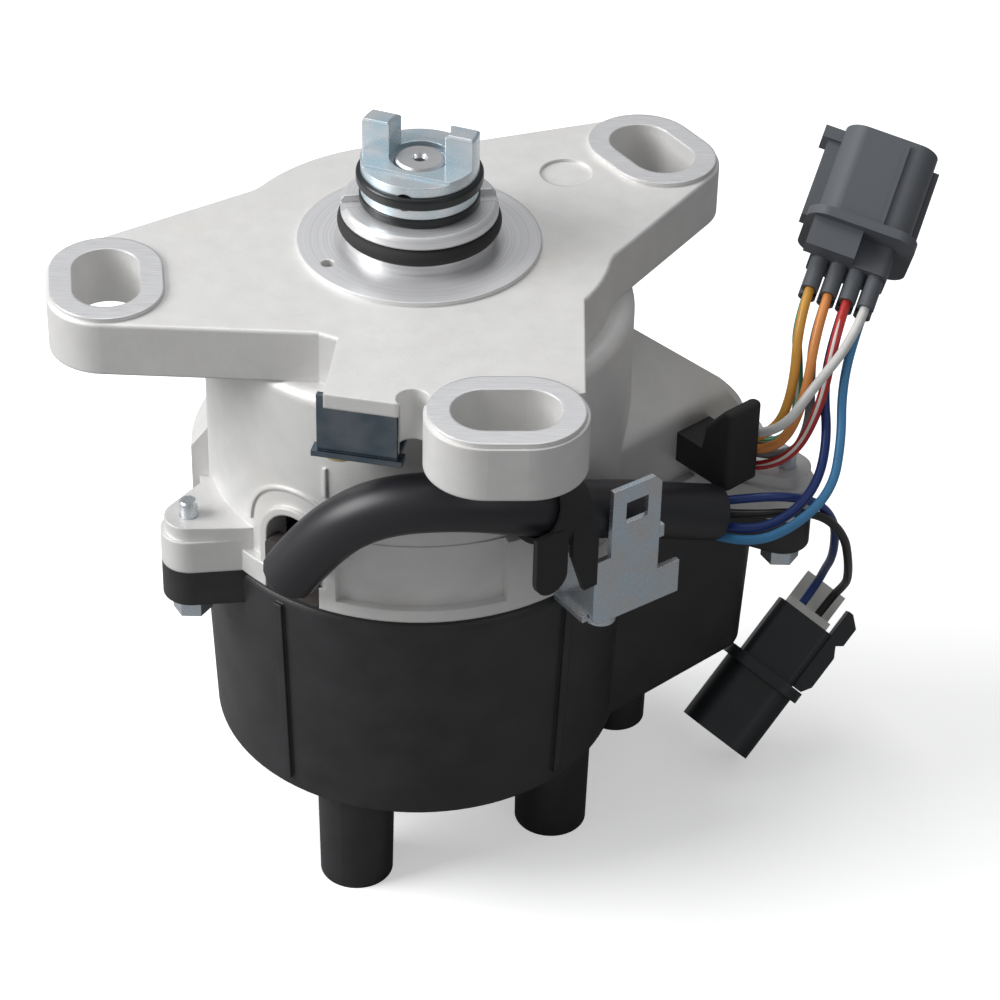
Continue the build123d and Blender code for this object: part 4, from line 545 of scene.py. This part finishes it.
@dataclass
class Harness(Assembly):
    """Sleeve, leads, connector and plug; sizes in mm."""

    lead_diameter: float = 2.3
    plug_lead_diameter: float = 2.2
    sleeve_diameter: float = 13.4
    sleeve_route: List[Point] = field(default_factory=lambda: [
        (-27.3, -52.6, -56.5), (-20.5, -56.0, -44.0), (-8.0, -59.6, -32.0), (9.5, -60.5, -29.0),
        (25.5, -54.5, -34.5), (36.8, -45.2, -42.0), (50.5, -30.5, -52.0), (61.5, -21.3, -59.3),
        (70.5, -17.0, -62.5)])
    lead_routes: Dict[str, List[Point]] = field(default_factory=lambda: {
        "lead_white": [(80.7, -6.2, -46.8), (85.6, -9.8, -43.6), (91.8, -7.6, -33.6),
                       (101.8, 2.2, -25.2), (105.2, 10.6, -19.8)],
        "lead_yellow": [(78.7, -4.3, -50.0), (84.6, -4.6, -48.0), (88.2, -1.8, -37.3),
                        (88.8, 5.4, -22.1), (92.1, 13.8, -16.8)],
        "lead_orange": [(80.6, -6.2, -51.6), (85.8, -8.6, -49.6), (90.7, -4.8, -38.9),
                        (93.1, 4.3, -23.2), (96.4, 12.7, -17.8)],
        "lead_red": [(80.7, -6.2, -56.4), (87.5, -10.5, -52.6), (94.6, -4.6, -41.4),
                     (97.5, 3.2, -24.2), (100.8, 11.6, -18.8)],
        "lead_green": [(76.7, -2.1, -51.2), (85.6, -3.5, -53.3), (90.0, -0.3, -45.5),
                       (89.5, 5.3, -34.4), (88.5, 8.2, -26.3), (91.8, 16.5, -20.9)],
        "lead_grey": [(78.2, -3.6, -53.9), (87.9, -8.0, -53.6), (92.8, -2.3, -47.4),
                      (92.4, 3.7, -36.0), (92.8, 7.1, -27.4), (96.2, 15.5, -21.9)],
        "lead_dark_blue": [(71.5, -18.3, -65.1), (78.1, -22.5, -64.0), (87.3, -21.8, -60.3),
                           (94.2, -16.3, -54.5), (96.6, -7.3, -47.3), (95.4, 0.1, -38.1),
                           (97.2, 6.0, -28.4), (100.5, 14.4, -22.9)],
        "lead_light_blue": [(71.5, -19.9, -67.3), (78.8, -25.5, -65.4), (89.0, -24.9, -60.3),
                            (97.5, -19.0, -53.9), (99.6, -9.6, -46.2), (99.6, -1.3, -38.2),
                            (101.5, 4.9, -29.4), (104.9, 13.3, -24.0)],
    })
    plug_routes: Dict[str, List[Point]] = field(default_factory=lambda: {
        "plug_lead_blue": [(71.2, -15.1, -60.7), (79.0, -16.2, -58.6), (87.6, -15.1, -58.8),
                           (95.4, -13.0, -61.9), (100.4, -6.9, -72.1), (102.2, 4.5, -88.0),
                           (103.2, 17.0, -101.5), (103.4, 28.0, -112.5), (102.0, 32.8, -121.8),
                           (96.5, 28.2, -128.1)],
        "plug_lead_black": [(71.3, -16.8, -62.9), (79.4, -18.4, -62.0), (88.4, -16.6, -62.3),
                            (96.5, -13.8, -64.9), (102.8, -7.9, -75.2), (105.6, 1.5, -90.0),
                            (107.4, 13.0, -104.0), (108.3, 24.5, -115.0), (106.1, 31.1, -124.2),
                            (100.5, 26.5, -130.4)],
    })
    connector_pieces: Tuple[str, ...] = ("connector_shell", "connector_seal", "connector_pins")
    plug_pieces: Tuple[str, ...] = ("plug_shell", "plug_latch", "plug_holder")
    plug_finishes: Dict[str, Finish] = field(default_factory=lambda: {
        "plug_lead_blue": LEADS["lead_dark_blue"], "plug_lead_black": LEADS["lead_black"]})

    finishes: Dict[str, Finish] = field(default_factory=lambda: {
        "entry_lead_white": LEADS["lead_white"], "entry_lead_orange": LEADS["lead_orange"],
        "sleeve_strap": Stock.RUBBER, "lead_grommet": Stock.GROMMET,
        "connector_shell": Stock.NYLON, "connector_seal": Stock.GROMMET,
        "connector_pins": Stock.TERMINAL, "plug_shell": Stock.BLACK_NYLON,
        "plug_latch": Stock.BLACK_NYLON, "plug_holder": Stock.PALE_NYLON})

    def build(self) -> None:
        """Lays the sleeve and every lead, and dresses the connector and the plug."""
        Cord("harness_sleeve", self.sleeve_route, self.sleeve_diameter, Stock.SLEEVE, "object",
             "stiff", ("sleeve_strap",)).build()
        for name, route in self.lead_routes.items():
            Cord(name, route, self.lead_diameter, LEADS[name], "connector",
                 pieces=self.connector_pieces).build()
        for name, route in self.plug_routes.items():
            Cord(name, route, self.plug_lead_diameter, self.plug_finishes[name], "plug",
                 pieces=self.plug_pieces).build()
        super().build()


# ---------------------------------------------------------------- lead guide
@dataclass
class LeadGuide:
    """Moulded guide on the coil chamber's wall that the leads come out of; mm and degrees."""

    angle: float = 42.0
    left: float = 44.0
    right: float = 54.6
    wall: float = 43.02
    back: float = 51.4
    outer: float = 60.0
    low: float = -57.98
    neck: float = 8.0
    top: float = -36.5
    top_depth: float = 2.6
    back_drop: float = 7.3
    rounding: float = 1.8
    rounding_steps: int = 4
    rounded_corners: Tuple[int, ...] = (2, 3, 4)
    sharp_angle: float = 35.0

    def at(self, along: float, out: float, z: float) -> Vector:
        """Point in metres: along the wall, out from the distributor's axis, and in height."""
        turn = math.radians(self.angle)
        return Vector((along * math.cos(turn) + out * math.sin(turn),
                       along * math.sin(turn) - out * math.cos(turn), z)) * MM

    def build(self) -> bpy.types.Object:
        """Makes the guide with rounded outer edges and dresses it.

        Returns:
            The guide.
        """
        profile = [(self.wall, self.low), (self.outer, self.low), (self.outer, self.top),
                   (self.outer - self.top_depth, self.top), (self.back, self.top - self.back_drop),
                   (self.back, self.low + self.neck), (self.wall, self.low + self.neck)]
        shape = bmesh.new()
        sides = [[shape.verts.new(self.at(along, out, z)) for out, z in profile]
                 for along in (self.left, self.right)]
        shape.faces.new(sides[0])
        shape.faces.new(list(reversed(sides[1])))
        for index in range(len(profile)):
            after = (index + 1) % len(profile)
            shape.faces.new([sides[0][after], sides[0][index], sides[1][index], sides[1][after]])
        bmesh.ops.recalc_face_normals(shape, faces=shape.faces[:])
        rounded = {side[corner] for side in sides for corner in self.rounded_corners}
        edges = [edge for edge in shape.edges
                 if edge.verts[0] in rounded or edge.verts[1] in rounded]
        bmesh.ops.bevel(shape, geom=edges, offset=self.rounding * MM,
                        segments=self.rounding_steps, profile=0.5, affect="EDGES",
                        clamp_overlap=True)
        mesh = bpy.data.meshes.new("lead_guide")
        shape.to_mesh(mesh)
        shape.free()
        mesh.polygons.foreach_set("use_smooth", [True] * len(mesh.polygons))
        mesh.set_sharp_from_angle(angle=math.radians(self.sharp_angle))
        mesh.materials.append(Stock.RUBBER.material())
        guide = linked("lead_guide", mesh)
        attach(guide, Body.CASE.value)
        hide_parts("lead_boot")
        return guide


# ---------------------------------------------------------------- brush spring
@dataclass
class BrushSpring:
    """Coil spring of the carbon brush, copied as it stands, though the real one shortens as the
    brush slides in; sizes in mm.
    """

    seat_z: float = -119.8
    length: float = 13.0
    travel: float = 1.5

    def build(self) -> bpy.types.Object:
        """Copies the solid's coils and dresses them.

        Returns:
            The spring.
        """
        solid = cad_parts["brush_spring"]
        mesh = solid.data.copy()
        mesh.transform(solid.matrix_world)
        mesh.materials.clear()
        mesh.materials.append(Stock.SPRING.material())
        spring = linked("brush_spring_coils", mesh)
        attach(spring, Body.CASE.value)
        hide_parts("brush_spring")
        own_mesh(spring)
        return spring


# ---------------------------------------------------------------- sub-assemblies
@dataclass
class Case(Assembly):
    """Casting, cap and brackets, with the brush and the outer parts of the bearing."""

    finishes: Dict[str, Finish] = field(default_factory=lambda: {
        "housing": Stock.CAST, "distributor_cap": Stock.CAP, "cap_seal": Stock.RUBBER,
        "cap_bolts": Stock.ZINC, "cap_terminals": Stock.TERMINAL, "carbon_brush": Stock.CARBON,
        "nose_o_ring": Stock.RUBBER, "oil_seal": Stock.RUBBER, "shaft_bush": Stock.BRONZE,
        "bearing_outer_race": Stock.GROUND, "bearing_balls": Stock.GROUND,
        "bearing_cage": Stock.BRONZE, "bearing_circlip": Stock.SPRING, "pickup_coils": Stock.CAP,
        "sensor_plate": Stock.ZINC, "dust_shield": Stock.CAP, "igniter_module": Stock.CAP,
        "ignition_coil": Stock.CAP, "harness_plate": Stock.DARK_ZINC,
        "harness_plate_screw": Stock.YELLOW_ZINC, "tab_bracket": Stock.ZINC,
        "tab_bracket_screw": Stock.ZINC})


@dataclass
class Drive(Assembly):
    """Shaft, coupling, toothed wheels and rotor."""

    finishes: Dict[str, Finish] = field(default_factory=lambda: {
        "drive_shaft": Stock.GROUND, "drive_coupling": Stock.BLUE_ZINC,
        "coupling_pin": Stock.DARK_STEEL, "coupling_retaining_ring": Stock.RING,
        "thrust_ring": Stock.RING, "bearing_inner_race": Stock.GROUND,
        "crank_reluctor": Stock.DARK_STEEL, "phase_reluctor": Stock.DARK_STEEL,
        "cylinder_reluctor": Stock.DARK_STEEL, "rotor_arm": Stock.ROTOR,
        "rotor_electrode": Stock.TERMINAL, "rotor_screw": Stock.ZINC})


# ---------------------------------------------------------------- studio
@dataclass(frozen=True)
class Lamp:
    """Square area lamp; lengths in metres and power in watts."""

    name: str
    place: Point
    side: float
    power: float

    def build(self, aim: Point) -> None:
        """Sets the lamp so that it faces that point."""
        data = bpy.data.lights.new(self.name, "AREA")
        data.shape = "SQUARE"
        data.size = self.side
        data.energy = self.power
        lamp = linked(self.name, data)
        lamp.location = self.place
        lamp.rotation_mode = "QUATERNION"
        lamp.rotation_quaternion = (Vector(aim) - Vector(self.place)).to_track_quat("-Z", "Y")


@dataclass
class Studio:
    """Camera, floor and soft light; the eye, the lens and the floor's height are in mm."""

    eye: Point = (19.8, -647.8, 401.7)
    right: Point = (0.9997, 0.0142, 0.0195)
    up: Point = (-0.0241, 0.5908, 0.8063)
    lens: float = 119.6
    sensor_width: float = 36.0
    nearest_m: float = 0.01
    farthest_m: float = 20.0
    floor_z: float = -161.0
    floor_reach_m: float = 6.0
    floor_cloud: float = 400.0
    floor_roughness: float = 0.9
    floor_shown: Tuple[Colour, Colour] = ((0.92, 0.92, 0.92), (0.94, 0.94, 0.94))
    floor_lit: Colour = (0.30, 0.30, 0.30)
    floor_glow: Colour = (0.42, 0.42, 0.42)
    world_colour: Colour = (0.97, 0.98, 1.0)
    world_level: float = 0.27
    aim_m: Point = (0.0, 0.0, -0.06)
    lamps: Tuple[Lamp, ...] = (Lamp("key", (-1.1, -0.20, 0.62), 0.8, 19.0),
                               Lamp("top", (-0.1, 0.4, 1.15), 0.9, 5.5),
                               Lamp("fill", (0.8, -0.9, 0.5), 0.6, 0.8))

    def camera(self) -> None:
        """Sets the camera."""
        data = bpy.data.cameras.new("camera")
        data.lens = self.lens
        data.sensor_width = self.sensor_width
        data.clip_start = self.nearest_m
        data.clip_end = self.farthest_m
        camera = linked("camera", data)
        right = Vector(self.right).normalized()
        up = Vector(self.up).normalized()
        back = right.cross(up).normalized()
        up = back.cross(right)
        turn = Matrix((right, up, back)).transposed()
        camera.matrix_world = Matrix.Translation(Vector(self.eye) * MM) @ turn.to_4x4()
        bpy.context.scene.camera = camera

    def world(self) -> None:
        """Even dim surroundings that show white to the camera."""
        world = bpy.data.worlds.new("surroundings")
        bpy.context.scene.world = world
        world.use_nodes = True
        tree = world.node_tree
        tree.nodes.clear()
        path = tree.nodes.new("ShaderNodeLightPath")
        seen = tree.nodes.new("ShaderNodeBackground")
        seen.inputs["Color"].default_value = (1.0, 1.0, 1.0, 1.0)
        lit = tree.nodes.new("ShaderNodeBackground")
        lit.inputs["Color"].default_value = (*self.world_colour, 1.0)
        lit.inputs["Strength"].default_value = self.world_level
        mix = tree.nodes.new("ShaderNodeMixShader")
        output = tree.nodes.new("ShaderNodeOutputWorld")
        tree.links.new(path.outputs["Is Camera Ray"], mix.inputs[0])
        tree.links.new(lit.outputs[0], mix.inputs[1])
        tree.links.new(seen.outputs[0], mix.inputs[2])
        tree.links.new(mix.outputs[0], output.inputs["Surface"])

    def floor(self) -> None:
        """Wide pale floor that the towers stand on."""
        mesh = bpy.data.meshes.new("floor")
        shape = bmesh.new()
        bmesh.ops.create_grid(shape, x_segments=1, y_segments=1, size=self.floor_reach_m)
        shape.to_mesh(mesh)
        shape.free()
        floor = linked("floor", mesh)
        floor.location = (0.0, 0.0, self.floor_z * MM)
        graph = Graph("pale_floor")
        cloud = graph.noise(graph.place(), self.floor_cloud)
        shown = graph.node("ShaderNodeLightPath", {}, {}, "Is Camera Ray")
        pale = graph.mixed(*self.floor_shown, cloud)
        tone = graph.mixed(self.floor_lit, pale, shown)
        glow = graph.mixed((0.0, 0.0, 0.0), self.floor_glow, shown)
        mesh.materials.append(graph.finish({"Base Color": tone, "Roughness": self.floor_roughness,
                                            "Emission Color": glow, "Emission Strength": 1.0}))

    def build(self) -> None:
        """Sets the view, the floor and the light."""
        scene = bpy.context.scene
        scene.view_settings.view_transform = "Standard"
        self.camera()
        self.floor()
        self.world()
        for lamp in self.lamps:
            lamp.build(self.aim_m)


def main() -> None:
    """Builds the sub-assemblies in order."""
    logging.basicConfig(level=logging.INFO, format="%(message)s")
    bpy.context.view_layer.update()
    Studio().build()
    Harness().build()
    LeadGuide().build()
    BrushSpring().build()
    Case().build()
    Drive().build()


if __name__ == "__main__":
    main()
